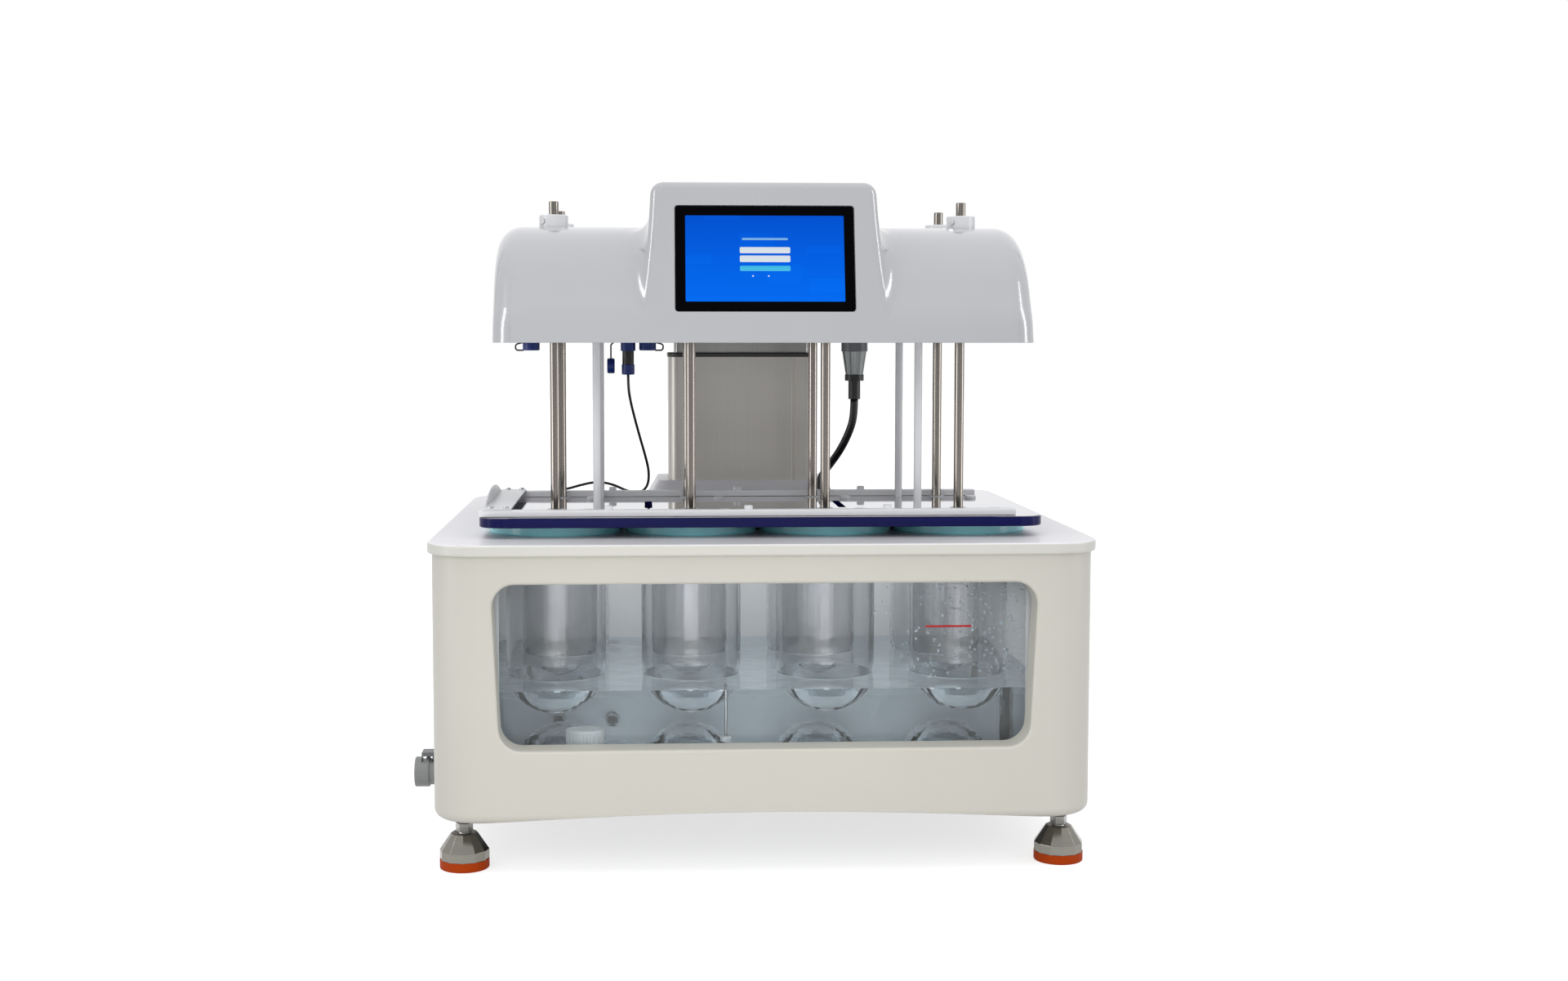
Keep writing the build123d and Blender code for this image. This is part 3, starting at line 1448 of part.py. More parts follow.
def cable(points, radius, name):
    """Cable of straight runs joined by arcs as large as their runs allow; prints its radii."""
    corners = []
    for before, here, after in zip(points, points[1:], points[2:]):
        a, b = Vector(*here) - Vector(*before), Vector(*after) - Vector(*here)
        turn = radians(a.get_angle(b))
        corners.append(bend_share * min(a.length, b.length) / tan(turn / 2))
    with BuildPart() as tube:
        with BuildLine() as route:
            path = FilletPolyline(*points, radius=corners)
        start = Vector(*points[0])
        with BuildSketch(Plane(origin=start, z_dir=Vector(*points[1]) - start)):
            Circle(radius)
        sweep()
    length = path.length
    print(name, "radii", [round(r, 1) for r in corners])
    print(name, "length", round(length, 1), "volume ratio",
          round(tube.part.volume / (pi * radius ** 2 * length), 4))
    return tube


def between(start, end, shares):
    """Points placed by their shares of the way from start to end along each axis."""
    ways = [finish - origin for origin, finish in zip(start, end)]
    return [
        tuple(origin + way * share for origin, way, share in zip(start, ways, point))
        for point in shares
    ]


# Signal cable: from the plug down behind the cover plate, over a low hump to its gland.
signal_shares = [
    (0.0, 0.0, 0.0935),
    (-0.0251, 0.0549, 0.1968),
    (-0.0704, 0.1585, 0.3194),
    (-0.1276, 0.2927, 0.4613),
    (-0.191, 0.439, 0.6065),
    (-0.2382, 0.5854, 0.7387),
    (-0.2211, 0.7317, 0.8548),
    (-0.1256, 0.8354, 0.9097),
    (0.0251, 0.8963, 0.8968),
    (0.196, 0.9512, 0.8452),
    (0.3869, 0.9939, 0.8258),
    (0.5879, 1.0122, 0.8548),
    (0.7588, 1.0122, 0.8871),
    (0.9095, 1.0073, 0.8871),
    (1.0, 1.0, 0.9297),
]
signal_start = (machine_x + plug_x, socket_y, plug_bottom)
signal_end = (machine_x + signal_gland_x, signal_gland_y, deck_top + grommet_flange)
signal_route = [signal_start, *between(signal_start, signal_end, signal_shares), signal_end]
signal_cable = cable(signal_route, signal_cable_radius, "signal_cable")
finish(signal_cable, "signal_cable")

# Power cable: from the plug's sleeve, leaning back to the boss on the column skirt.
power_shares = [
    (0.0, 0.0, 0.1816),
    (0.1693, 0.0475, 0.3542),
    (0.4409, 0.1519, 0.5358),
    (0.7284, 0.3228, 0.6856),
    (0.9201, 0.5411, 0.7946),
]
boss_run = 24.0
power_start = (machine_x + power_socket_x, socket_y, sleeve_low)
power_end = (boss_face.X, boss_face.Y, boss_face.Z)
boss_approach = boss_face + skirt_out * boss_run
power_route = [
    power_start, *between(power_start, power_end, power_shares),
    (boss_approach.X, boss_approach.Y, boss_approach.Z), power_end,
]
power_cable = cable(power_route, power_cable_radius, "power_cable")
finish(power_cable, "power_cable")
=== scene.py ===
import math
import random

import bmesh
import bpy
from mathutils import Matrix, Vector


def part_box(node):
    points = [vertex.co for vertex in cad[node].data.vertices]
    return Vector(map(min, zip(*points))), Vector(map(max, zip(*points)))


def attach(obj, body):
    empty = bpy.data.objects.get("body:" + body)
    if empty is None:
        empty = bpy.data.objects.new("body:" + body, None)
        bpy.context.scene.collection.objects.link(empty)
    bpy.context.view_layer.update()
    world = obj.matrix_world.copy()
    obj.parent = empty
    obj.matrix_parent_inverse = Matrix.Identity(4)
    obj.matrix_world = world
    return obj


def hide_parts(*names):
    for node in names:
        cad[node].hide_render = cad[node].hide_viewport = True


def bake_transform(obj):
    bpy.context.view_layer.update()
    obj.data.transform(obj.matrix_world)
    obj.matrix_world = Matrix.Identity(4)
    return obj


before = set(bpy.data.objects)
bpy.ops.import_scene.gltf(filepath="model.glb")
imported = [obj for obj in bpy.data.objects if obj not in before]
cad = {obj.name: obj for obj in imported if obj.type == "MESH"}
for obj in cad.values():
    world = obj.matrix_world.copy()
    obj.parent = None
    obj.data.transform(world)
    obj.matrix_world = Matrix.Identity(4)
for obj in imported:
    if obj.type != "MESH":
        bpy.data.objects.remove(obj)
scene = bpy.context.scene
scene.view_settings.view_transform = "Standard"
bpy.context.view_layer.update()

# Camera: a short telephoto lens a little above the deck, left of the machine's middle, turned
# slightly to the right; the small shifts are the photo's off-centre crop.
camera_data = bpy.data.cameras.new("photo_camera")
camera_data.sensor_fit = "HORIZONTAL"
camera_data.sensor_width = 36.0
camera_data.lens = 43.23
camera_data.shift_x = 0.0274
camera_data.shift_y = -0.0106
camera = bpy.data.objects.new("photo_camera", camera_data)
camera.location = (-0.10335, -2.1046, 0.5236)
camera.rotation_euler = (math.radians(85.889), math.radians(-0.016), math.radians(-2.87))
scene.collection.objects.link(camera)
scene.camera = camera

# Cables: two black jacketed leads from under the head to the base. The thin one is limp and
# hangs in a low hump behind the cover plate; the thick one leans straight back to the skirt.
machine_x = 0.01225
signal_points = [
    (-136.5, 47, 482.5), (-136.5, 47, 468), (-134, 51.5, 452), (-129.5, 60, 433),
    (-123.8, 71, 411), (-117.5, 83, 388.5), (-112.8, 95, 368), (-114.5, 107, 350),
    (-124, 115.5, 341.5), (-139, 120.5, 343.5), (-156, 125, 351.5), (-175, 128.5, 354.5),
    (-195, 130, 350), (-212, 130, 345), (-227, 129.6, 345), (-236, 129, 338.4),
    (-236, 129, 327.5),
]
power_points = [
    (122.3, 47, 454.5), (122.3, 47, 434.5), (117, 52, 415.5), (108.5, 63, 395.5),
    (99.5, 81, 379), (93.5, 104, 367), (91, 131.36, 356.04), (91, 152.34, 344.39),
]


def shader(tree, kind, inputs, **settings):
    """Add a shader node; an input given as a socket is linked, any other value is set."""
    made = tree.nodes.new("ShaderNode" + kind)
    for key, value in settings.items():
        setattr(made, key, value)
    for key, value in inputs.items():
        if isinstance(value, bpy.types.NodeSocket):
            tree.links.new(value, made.inputs[key])
        else:
            made.inputs[key].default_value = value
    return made


def effect(name, inputs, outputs):
    """Start a shader node group with its sockets; gives its tree, inputs and output node."""
    tree = bpy.data.node_groups.new(name, "ShaderNodeTree")
    for socket, kind in inputs.items():
        tree.interface.new_socket(name=socket, in_out="INPUT", socket_type="NodeSocket" + kind)
    for socket, kind in outputs.items():
        tree.interface.new_socket(name=socket, in_out="OUTPUT", socket_type="NodeSocket" + kind)
    given = tree.nodes.new("NodeGroupInput").outputs
    return tree, given, tree.nodes.new("NodeGroupOutput").inputs


def tone(red, green, blue):
    """Linear colour of a display tone from 0 to 255."""
    return tuple((level / 255) ** 2.2 for level in (red, green, blue)) + (1.0,)


def finish_from(name, group, values, **fixed):
    """Material whose Principled shader takes a shared effect's outputs by their names."""
    made = bpy.data.materials.new(name)
    made.use_nodes = True
    tree = made.node_tree
    principled = tree.nodes["Principled BSDF"]
    effect_node = tree.nodes.new("ShaderNodeGroup")
    effect_node.node_tree = group
    for key, value in values.items():
        effect_node.inputs[key].default_value = value
    for output in effect_node.outputs:
        tree.links.new(output, principled.inputs[output.name])
    for key, value in fixed.items():
        principled.inputs[key.replace("_", " ")].default_value = value
    return made


surface_inputs = {"Tint": "Color", "Shade": "Color", "Softness": "Float", "Relief": "Float"}
surface_outputs = {"Base Color": "Color", "Roughness": "Float", "Normal": "Vector"}

grained, given, taken = effect(
    "Grained moulding", {**surface_inputs, "Grain": "Float"}, surface_outputs
)
place = shader(grained, "TexCoord", {}).outputs["Object"]
clouds = shader(grained, "TexNoise", {"Vector": place, "Scale": 7.0, "Detail": 2.0})
grain = shader(grained, "TexNoise", {"Vector": place, "Scale": given["Grain"], "Detail": 1.0})
blend = shader(
    grained, "Mix", {0: clouds.outputs[0], 6: given["Shade"], 7: given["Tint"]}, data_type="RGBA"
)
uneven = shader(
    grained, "MapRange",
    {"Value": clouds.outputs[0], "To Min": -0.05, "To Max": 0.05},
)
softness = shader(
    grained, "Math", {0: given["Softness"], 1: uneven.outputs[0]}, operation="ADD", use_clamp=True
)
rounded = shader(grained, "Bevel", {"Radius": 0.0006}, samples=4)
bump = shader(
    grained, "Bump",
    {"Strength": given["Relief"], "Distance": 0.0002, "Height": grain.outputs[0],
     "Normal": rounded.outputs[0]},
)
grained.links.new(blend.outputs[2], taken["Base Color"])
grained.links.new(softness.outputs[0], taken["Roughness"])
grained.links.new(bump.outputs[0], taken["Normal"])


def moulding(name, tint, shade, softness, relief=0.15, grain=1400.0, **fixed):
    """Moulded plastic or rubber with a fine grain and a slow change of tone."""
    values = {"Tint": tint, "Shade": shade, "Softness": softness, "Relief": relief}
    return finish_from(name, grained, {**values, "Grain": grain}, **fixed)


def route(points):
    """Close points, in metres, of the smooth line that a cable follows."""
    curve = bpy.data.curves.new("route", "CURVE")
    curve.dimensions = "3D"
    curve.resolution_u = 8
    spline = curve.splines.new("NURBS")
    spline.points.add(len(points) - 1)
    for knot, (x, y, z) in zip(spline.points, points):
        knot.co = (machine_x + x / 1000, y / 1000, z / 1000, 1)
    spline.order_u = 3
    spline.use_endpoint_u = True
    line = bpy.data.objects.new("route", curve)
    scene.collection.objects.link(line)
    bpy.context.view_layer.update()
    solved = line.evaluated_get(bpy.context.evaluated_depsgraph_get())
    drawn = bpy.data.meshes.new_from_object(solved)
    path = [vertex.co.copy() for vertex in drawn.vertices]
    bpy.data.objects.remove(line)
    bpy.data.curves.remove(curve)
    bpy.data.meshes.remove(drawn)
    return path


def place_piece(name, form, finish, body):
    """Make an object of a bmesh, with its finish and the body it rides on."""
    mesh = bpy.data.meshes.new(name)
    form.to_mesh(mesh)
    form.free()
    mesh.materials.append(finish)
    piece = bpy.data.objects.new(name, mesh)
    scene.collection.objects.link(piece)
    if body:
        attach(piece, body)
    return piece


def tube(path, radius, sides=20):
    """Closed round tube along a path, its section carried along without a twist."""
    form = bmesh.new()
    across = (path[1] - path[0]).orthogonal().normalized()
    rings = []
    for i, point in enumerate(path):
        ahead = (path[min(i + 1, len(path) - 1)] - path[max(i - 1, 0)]).normalized()
        across = (across - ahead * across.dot(ahead)).normalized()
        aside = ahead.cross(across)
        rings.append([
            form.verts.new(point + radius * (math.cos(turn) * across + math.sin(turn) * aside))
            for turn in (2 * math.pi * k / sides for k in range(sides))
        ])
    for low, high in zip(rings, rings[1:]):
        for k in range(sides):
            wall = form.faces.new((low[k], low[k - 1], high[k - 1], high[k]))
            wall.smooth = True
    form.faces.new(rings[0])
    form.faces.new(reversed(rings[-1]))
    bmesh.ops.recalc_face_normals(form, faces=form.faces)
    return form


jacket = moulding("cable_jacket", tone(34, 34, 36), tone(24, 24, 26), 0.42, grain=2600.0)
for name, points, radius, stiffness in (
    ("signal_lead", signal_points, 0.0015, "limp"), ("power_lead", power_points, 0.0045, "medium")
):
    path = route(points)
    lead = place_piece(name, tube(path, radius), jacket, None)
    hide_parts(name.replace("lead", "cable"))
    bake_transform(lead)

# Floor and light: a white sweep under a big soft box, with a soft one at the front and two small
# ones that light the housing's foot and the bath from under the deck. Two tall strips and six
# dark flags at the sides and behind are there only to be mirrored by glossy and polished pieces.


def stage_sheet(name, half_size, finish):
    """Flat square sheet that belongs to the stage and not to the machine."""
    form = bmesh.new()
    bmesh.ops.create_grid(form, x_segments=1, y_segments=1, size=half_size)
    mesh = bpy.data.meshes.new(name)
    form.to_mesh(mesh)
    form.free()
    mesh.materials.append(finish)
    sheet = bpy.data.objects.new(name, mesh)
    scene.collection.objects.link(sheet)
    return sheet


paper = bpy.data.materials.new("paper")
paper.use_nodes = True
paper_shader = paper.node_tree.nodes["Principled BSDF"]
paper_shader.inputs["Base Color"].default_value = (0.62, 0.62, 0.62, 1.0)
paper_shader.inputs["Roughness"].default_value = 0.9
paper_shader.inputs["Specular IOR Level"].default_value = 0.1
rays = shader(paper.node_tree, "LightPath", {})
direct = shader(
    paper.node_tree, "Math",
    {0: rays.outputs["Is Camera Ray"], 1: rays.outputs["Is Transmission Ray"]},
    operation="MAXIMUM",
)
shown = shader(
    paper.node_tree, "Math", {0: direct.outputs[0], 1: rays.outputs["Is Glossy Ray"]},
    operation="MAXIMUM",
)
glow = shader(
    paper.node_tree, "Mix",
    {0: shown.outputs[0], 6: (0.0, 0.0, 0.0, 1.0), 7: (0.68, 0.68, 0.68, 1.0)},
    data_type="RGBA",
)
paper.node_tree.links.new(glow.outputs[2], paper_shader.inputs["Emission Color"])
paper_shader.inputs["Emission Strength"].default_value = 1.0
stage_sheet("floor", 14.0, paper)

world = bpy.data.worlds.new("studio")
scene.world = world
world.use_nodes = True
sky = world.node_tree.nodes["Background"]
rays = shader(world.node_tree, "LightPath", {})
direct = shader(
    world.node_tree, "Math",
    {0: rays.outputs["Is Camera Ray"], 1: rays.outputs["Is Transmission Ray"]},
    operation="MAXIMUM",
)
mirrored = shader(
    world.node_tree, "Mix",
    {0: rays.outputs["Is Glossy Ray"], 6: (0.72, 0.725, 0.745, 1.0), 7: (0.98, 0.98, 1.0, 1.0)},
    data_type="RGBA",
)
room = shader(
    world.node_tree, "Mix",
    {0: direct.outputs[0], 6: mirrored.outputs[2], 7: (1.0, 1.0, 1.0, 1.0)},
    data_type="RGBA",
)
world.node_tree.links.new(room.outputs[2], sky.inputs["Color"])
sky.inputs["Strength"].default_value = 1.0

for name, spot, aim, width, height, power, mirrored_only in (
    ("left_box", (-2.0, -0.8, 1.1), (-0.2, -0.1, 0.6), 0.45, 1.9, 18.0, True),
    ("right_box", (2.0, -0.6, 1.1), (0.2, -0.1, 0.6), 0.4, 1.9, 15.0, True),
    ("top_box", (0.0, -0.5, 3.0), (0.0, 0.0, 0.3), 2.6, 2.2, 20.0, False),
    ("front_box", (-0.6, -2.7, 1.7), (0.0, -0.2, 0.3), 1.8, 1.2, 12.0, False),
    ("low_box", (-0.08, -0.95, 0.15), (-0.05, -0.3, 0.12), 0.5, 0.2, 0.7, False),
    ("bath_box", (0.012, -0.0785, 0.265), (0.012, -0.0785, 0.0), 0.48, 0.28, 0.5, False),
):
    lamp = bpy.data.lights.new(name, "AREA")
    lamp.shape = "RECTANGLE"
    lamp.size = width
    lamp.size_y = height
    lamp.energy = power
    holder = bpy.data.objects.new(name, lamp)
    holder.location = spot
    holder.rotation_euler = (Vector(aim) - Vector(spot)).to_track_quat("-Z", "Y").to_euler()
    holder.visible_camera = False
    holder.visible_diffuse = not mirrored_only
    holder.visible_glossy = mirrored_only
    scene.collection.objects.link(holder)

flag_cloth = bpy.data.materials.new("flag_cloth")
flag_cloth.use_nodes = True
cloth_shader = flag_cloth.node_tree.nodes["Principled BSDF"]
cloth_shader.inputs["Base Color"].default_value = (0.01, 0.01, 0.01, 1.0)
cloth_shader.inputs["Roughness"].default_value = 1.0
flag_height, flag_middle = 1.6, 0.75
for name, x, y, turn, breadth in (
    ("left_flag", -1.3, -1.7, 40.0, 0.8), ("right_flag", 1.5, -1.6, -40.0, 0.8),
    ("front_flag", -0.75, -2.6, 15.0, 0.5), ("far_flag", 0.75, -2.5, -15.0, 0.5),
    ("left_back_flag", -1.5, 1.1, -50.0, 1.5), ("right_back_flag", 1.5, 1.1, 50.0, 1.5),
):
    flag = stage_sheet(name, 0.5, flag_cloth)
    flag.location = (x, y, flag_middle)
    flag.rotation_euler = (math.radians(90), 0, math.radians(turn))
    flag.scale = (breadth, flag_height, 1.0)
    flag.visible_shadow = False
    flag.visible_diffuse = False
    flag.visible_camera = False
    flag.visible_transmission = False

# Housing: one injection-moulded cream shell with a satin, lightly sparked face, screwed to the
# chassis from inside.


def dress(finish, *names):
    """Give CAD pieces their finish."""
    for name in names:
        cad[name].data.materials.clear()
        cad[name].data.materials.append(finish)


def dress_faces(name, finish, chosen):
    """Give another finish to those faces of a CAD piece that a test picks."""
    mesh = cad[name].data
    mesh.materials.append(finish)
    for polygon in mesh.polygons:
        if chosen(polygon):
            polygon.material_index = len(mesh.materials) - 1


def upward(polygon):
    """Whether a face looks up."""
    return polygon.normal.z > 0.5


dress(
    moulding("housing_cream", tone(216, 213, 202), tone(209, 206, 195), 0.42, 0.2, 1100.0),
    "base_housing",
)

# Deck slab and column skirt: white mouldings, smoother than the housing, that drop over its
# rim; the grommet for the thin lead is of the same plastic. The slab's side faces take a creamier,
# darker copy of its white: painted shade on the sides, with the top painted whiter as the lit face.
dress(
    moulding("deck_white", tone(248, 247, 249), tone(242, 241, 243), 0.34, 0.1, 900.0),
    "deck_slab", "column_skirt",
)
# Painted shade: faces of the slab that don't look up get the darker cream copy, and the top stays
# white as if lit.
dress_faces(
    "deck_slab",
    moulding("deck_side_shade", tone(224, 223, 214), tone(218, 217, 208), 0.36, 0.1, 900.0),
    lambda polygon: not upward(polygon),
)

# Feet: orange rubber pads pressed into twelve-sided plated cups; the studs above them are
# threaded steel with a hexagon near the foot.
drawn, given, taken = effect(
    "Drawn metal", {**surface_inputs, "Stretch": "Vector", "Rounding": "Float"}, surface_outputs
)
place = shader(drawn, "TexCoord", {}).outputs["Object"]
stretched = shader(drawn, "VectorMath", {0: place, 1: given["Stretch"]}, operation="MULTIPLY")
lines = shader(
    drawn, "TexNoise", {"Vector": stretched.outputs[0], "Scale": 1.0, "Detail": 4.0}
)
clouds = shader(drawn, "TexNoise", {"Vector": place, "Scale": 12.0, "Detail": 2.0})
blend = shader(
    drawn, "Mix", {0: lines.outputs[0], 6: given["Shade"], 7: given["Tint"]}, data_type="RGBA"
)
uneven = shader(
    drawn, "MapRange", {"Value": clouds.outputs[0], "To Min": -0.06, "To Max": 0.06}
)
softness = shader(
    drawn, "Math", {0: given["Softness"], 1: uneven.outputs[0]}, operation="ADD", use_clamp=True
)
rounded = shader(drawn, "Bevel", {"Radius": given["Rounding"]}, samples=4)
bump = shader(
    drawn, "Bump",
    {"Strength": given["Relief"], "Distance": 0.0001, "Height": lines.outputs[0],
     "Normal": rounded.outputs[0]},
)
drawn.links.new(blend.outputs[2], taken["Base Color"])
drawn.links.new(softness.outputs[0], taken["Roughness"])
drawn.links.new(bump.outputs[0], taken["Normal"])


def metal(name, tint, shade, softness, stretch, relief=0.2, rounding=0.0004, **fixed):
    """Bare or painted metal with the fine lines that its making leaves."""
    values = {"Tint": tint, "Shade": shade, "Softness": softness, "Relief": relief}
    return finish_from(
        name, drawn, {**values, "Stretch": stretch, "Rounding": rounding}, **fixed
    )


# The thread's roots are painted darker than its crests, Shade against Tint along the ridge: painted
# shade in the grooves.
threaded, given, taken = effect(
    "Threaded steel", {**surface_inputs, "Pitch": "Float"}, surface_outputs
)
place = shader(threaded, "TexCoord", {}).outputs["Object"]
height = shader(threaded, "SeparateXYZ", {0: place}).outputs[2]
turns = shader(threaded, "Math", {0: height, 1: given["Pitch"]}, operation="DIVIDE")
ridge = shader(threaded, "Math", {0: turns.outputs[0], 1: 1.0}, operation="PINGPONG")
blend = shader(
    threaded, "Mix", {0: ridge.outputs[0], 6: given["Shade"], 7: given["Tint"]},
    data_type="RGBA",
)
softness = shader(
    threaded, "MapRange", {"Value": ridge.outputs[0], "To Min": 0.5, "To Max": given["Softness"]}
)
bump = shader(
    threaded, "Bump",
    {"Strength": given["Relief"], "Distance": 0.0006, "Height": ridge.outputs[0]},
)
threaded.links.new(blend.outputs[2], taken["Base Color"])
threaded.links.new(softness.outputs[0], taken["Roughness"])
threaded.links.new(bump.outputs[0], taken["Normal"])

dress(
    moulding(
        "pad_rubber", tone(192, 72, 0), tone(164, 58, 0), 0.6, 0.35, 1800.0,
        Specular_IOR_Level=0.15,
    ),
    "foot_pads",
)
dress(
    metal(
        "cup_steel", (0.27, 0.26, 0.23, 1), (0.21, 0.2, 0.175, 1), 0.18, (60, 60, 900),
        Metallic=1.0,
    ),
    "foot_cups",
)
stud_steel = finish_from(
    "stud_steel", threaded,
    {"Tint": (0.72, 0.71, 0.69, 1), "Shade": (0.3, 0.3, 0.3, 1), "Softness": 0.26,
     "Relief": 0.6, "Pitch": 0.00075},
    Metallic=1.0,
)
dress(stud_steel, *(f"levelling_stud_{n}" for n in range(1, 5)))

# Chassis: a folded steel tray with welded bosses and bearers, painted a plain grey; it shows
# only through the window's edges and from below.
dress(
    metal("frame_paint", tone(150, 152, 154), tone(138, 140, 143), 0.5, (500, 500, 500), 0.3),
    "base_frame", "head_frame",
)

# Bath: a tank welded from clear acrylic sheet. Its front wall is the window's pane; the other
# walls and the floor are rubbed matt, so that the bath reads as a pale grey room.
clear_wall = bpy.data.materials.new("acrylic_clear")
clear_wall.use_nodes = True
tree = clear_wall.node_tree
pane = tree.nodes["Principled BSDF"]
edge_on = shader(tree, "LayerWeight", {"Blend": 0.35})
veil = shader(
    tree, "MapRange", {"Value": edge_on.outputs["Facing"], "To Min": 0.05, "To Max": 0.75}
)
place = shader(tree, "TexCoord", {}).outputs["Object"]
ripple = shader(tree, "TexNoise", {"Vector": place, "Scale": 5.0, "Detail": 1.0})
waves = shader(
    tree, "Bump", {"Strength": 0.05, "Distance": 0.002, "Height": ripple.outputs[0]}
)
tree.links.new(veil.outputs[0], pane.inputs["Alpha"])
tree.links.new(waves.outputs[0], pane.inputs["Normal"])
pane.inputs["Base Color"].default_value = tone(205, 214, 216)
pane.inputs["Roughness"].default_value = 0.04
pane.inputs["Coat Weight"].default_value = 1.0

matt_wall = moulding(
    "acrylic_matt", tone(244, 246, 248), tone(234, 238, 241), 0.5, 0.1, 600.0
)
tank_low, tank_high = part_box("bath_tank")
tank_wall, tank_floor, tank_corner = 0.006, 0.008, 0.028
front_wall = tank_low.y + tank_wall + 0.0002
dress(clear_wall, "bath_tank")
dress_faces("bath_tank", matt_wall, lambda polygon: polygon.center.y >= front_wall)

# Bath water: a shallow fill of clean water round the vessels' bowls, a little blue in its
# depth, with a calm surface.
water_top = 0.176
water_margin = 0.0003
vessel_radius, bowl_centre = 0.05175, 0.19075
left, right = tank_low.x + tank_wall + water_margin, tank_high.x - tank_wall - water_margin
near, far = tank_low.y + tank_wall + water_margin, tank_high.y - tank_wall - water_margin
station_xs = [machine_x + x for x in (-0.21, -0.07, 0.07, 0.21)]
row_ys = (-0.1535, -0.0035)


def prism(outline, low, high):
    """Closed upright solid on an outline of (x, y) points."""
    form = bmesh.new()
    foot = [form.verts.new((x, y, low)) for x, y in outline]
    top = [form.verts.new((x, y, high)) for x, y in outline]
    form.faces.new(reversed(foot))
    form.faces.new(top)
    for k in range(len(outline)):
        form.faces.new((foot[k - 1], foot[k], top[k], top[k - 1]))
    return form


def round_rectangle(left, right, near, far, corner, steps=8):
    """Points of a rectangle with round corners, anticlockwise."""
    points = []
    for x, y, start in (
        (right - corner, far - corner, 0), (left + corner, far - corner, 90),
        (left + corner, near + corner, 180), (right - corner, near + corner, 270),
    ):
        for step in range(steps + 1):
            turn = math.radians(start + 90 * step / steps)
            points.append((x + corner * math.cos(turn), y + corner * math.sin(turn)))
    return points


def clear_material(name, tint, roughness, ior, wave_scale, wave_detail, wave_strength,
                   wave_depth, shadow):
    """Clear material with faint waves, whose shadow is as thin as the share given."""
    made = bpy.data.materials.new(name)
    made.use_nodes = True
    tree = made.node_tree
    principled = tree.nodes["Principled BSDF"]
    place = shader(tree, "TexCoord", {}).outputs["Object"]
    swell = shader(
        tree, "TexNoise", {"Vector": place, "Scale": wave_scale, "Detail": wave_detail}
    )
    waves = shader(
        tree, "Bump",
        {"Strength": wave_strength, "Distance": wave_depth, "Height": swell.outputs[0]},
    )
    tree.links.new(waves.outputs[0], principled.inputs["Normal"])
    rays = shader(tree, "LightPath", {})
    passed = shader(
        tree, "MapRange",
        {"Value": rays.outputs["Is Shadow Ray"], "To Min": 1.0, "To Max": shadow},
    )
    tree.links.new(passed.outputs[0], principled.inputs["Alpha"])
    principled.inputs["Base Color"].default_value = tint
    principled.inputs["Roughness"].default_value = roughness
    principled.inputs["IOR"].default_value = ior
    principled.inputs["Transmission Weight"].default_value = 1.0
    return made


ripples = clear_material(
    "bath_water", tone(238, 248, 254), 0.02, 1.333, 30.0, 2.0, 0.12, 0.002, shadow=0.1
)
water = place_piece(
    "bath_water",
    prism(
        round_rectangle(left, right, near, far, tank_corner),
        tank_low.z + tank_floor + water_margin, water_top,
    ),
    ripples, "base",
)
bowls = bmesh.new()
for y in row_ys:
    for x in station_xs:
        made = bmesh.ops.create_uvsphere(
            bowls, u_segments=48, v_segments=24, radius=vessel_radius + water_margin
        )
        bmesh.ops.translate(bowls, verts=made["verts"], vec=(x, y, bowl_centre))
bowl_mesh = bpy.data.meshes.new("bowls")
bowls.to_mesh(bowl_mesh)
bowls.free()
bowl_cutter = bpy.data.objects.new("bowls", bowl_mesh)
scene.collection.objects.link(bowl_cutter)
cut = water.modifiers.new("vessels", "BOOLEAN")
cut.operation = "DIFFERENCE"
cut.solver = "EXACT"
cut.object = bowl_cutter
bpy.context.view_layer.update()
solved = water.evaluated_get(bpy.context.evaluated_depsgraph_get())
carved = bpy.data.meshes.new_from_object(solved)
water.modifiers.clear()
water.data = carved
bpy.data.objects.remove(bowl_cutter)

# Condensation: fine flattened drops of water that cling to the pane's inner face above the
# fill, thickest toward the right end.
drops = bmesh.new()
chance = random.Random(7)
pane_inside = tank_low.y + tank_wall
drop_count, drops_right, drops_spread = 260, machine_x + 0.26, 0.055
drop_heights, drop_radii = (0.182, 0.286), (0.0005, 0.0016)
for _ in range(drop_count):
    x = drops_right - abs(chance.gauss(0, drops_spread))
    z = chance.uniform(*drop_heights)
    size = chance.uniform(*drop_radii)
    made = bmesh.ops.create_uvsphere(drops, u_segments=10, v_segments=6, radius=size)
    bmesh.ops.scale(drops, verts=made["verts"], vec=(1.0, 0.45, chance.uniform(0.9, 1.35)))
    bmesh.ops.translate(drops, verts=made["verts"], vec=(x, pane_inside + water_margin, z))
for drop_face in drops.faces:
    drop_face.smooth = True
place_piece("condensation", drops, ripples, "base")

# Level line: a short red line printed on the pane's outer face, to show how far the bath is
# filled. It lies a tenth of a millimetre off the acrylic.
mark = bmesh.new()
line_left, line_right = machine_x + 0.160, machine_x + 0.206
line_low, line_high = 0.238, 0.24
mark_y = tank_low.y - 0.0001
corners = [
    (line_left, line_low), (line_right, line_low), (line_right, line_high),
    (line_left, line_high),
]
mark.faces.new([mark.verts.new((x, mark_y, z)) for x, z in corners])
place_piece(
    "level_line", mark, moulding("level_red", tone(184, 16, 28), tone(170, 12, 22), 0.4),
    "base",
)

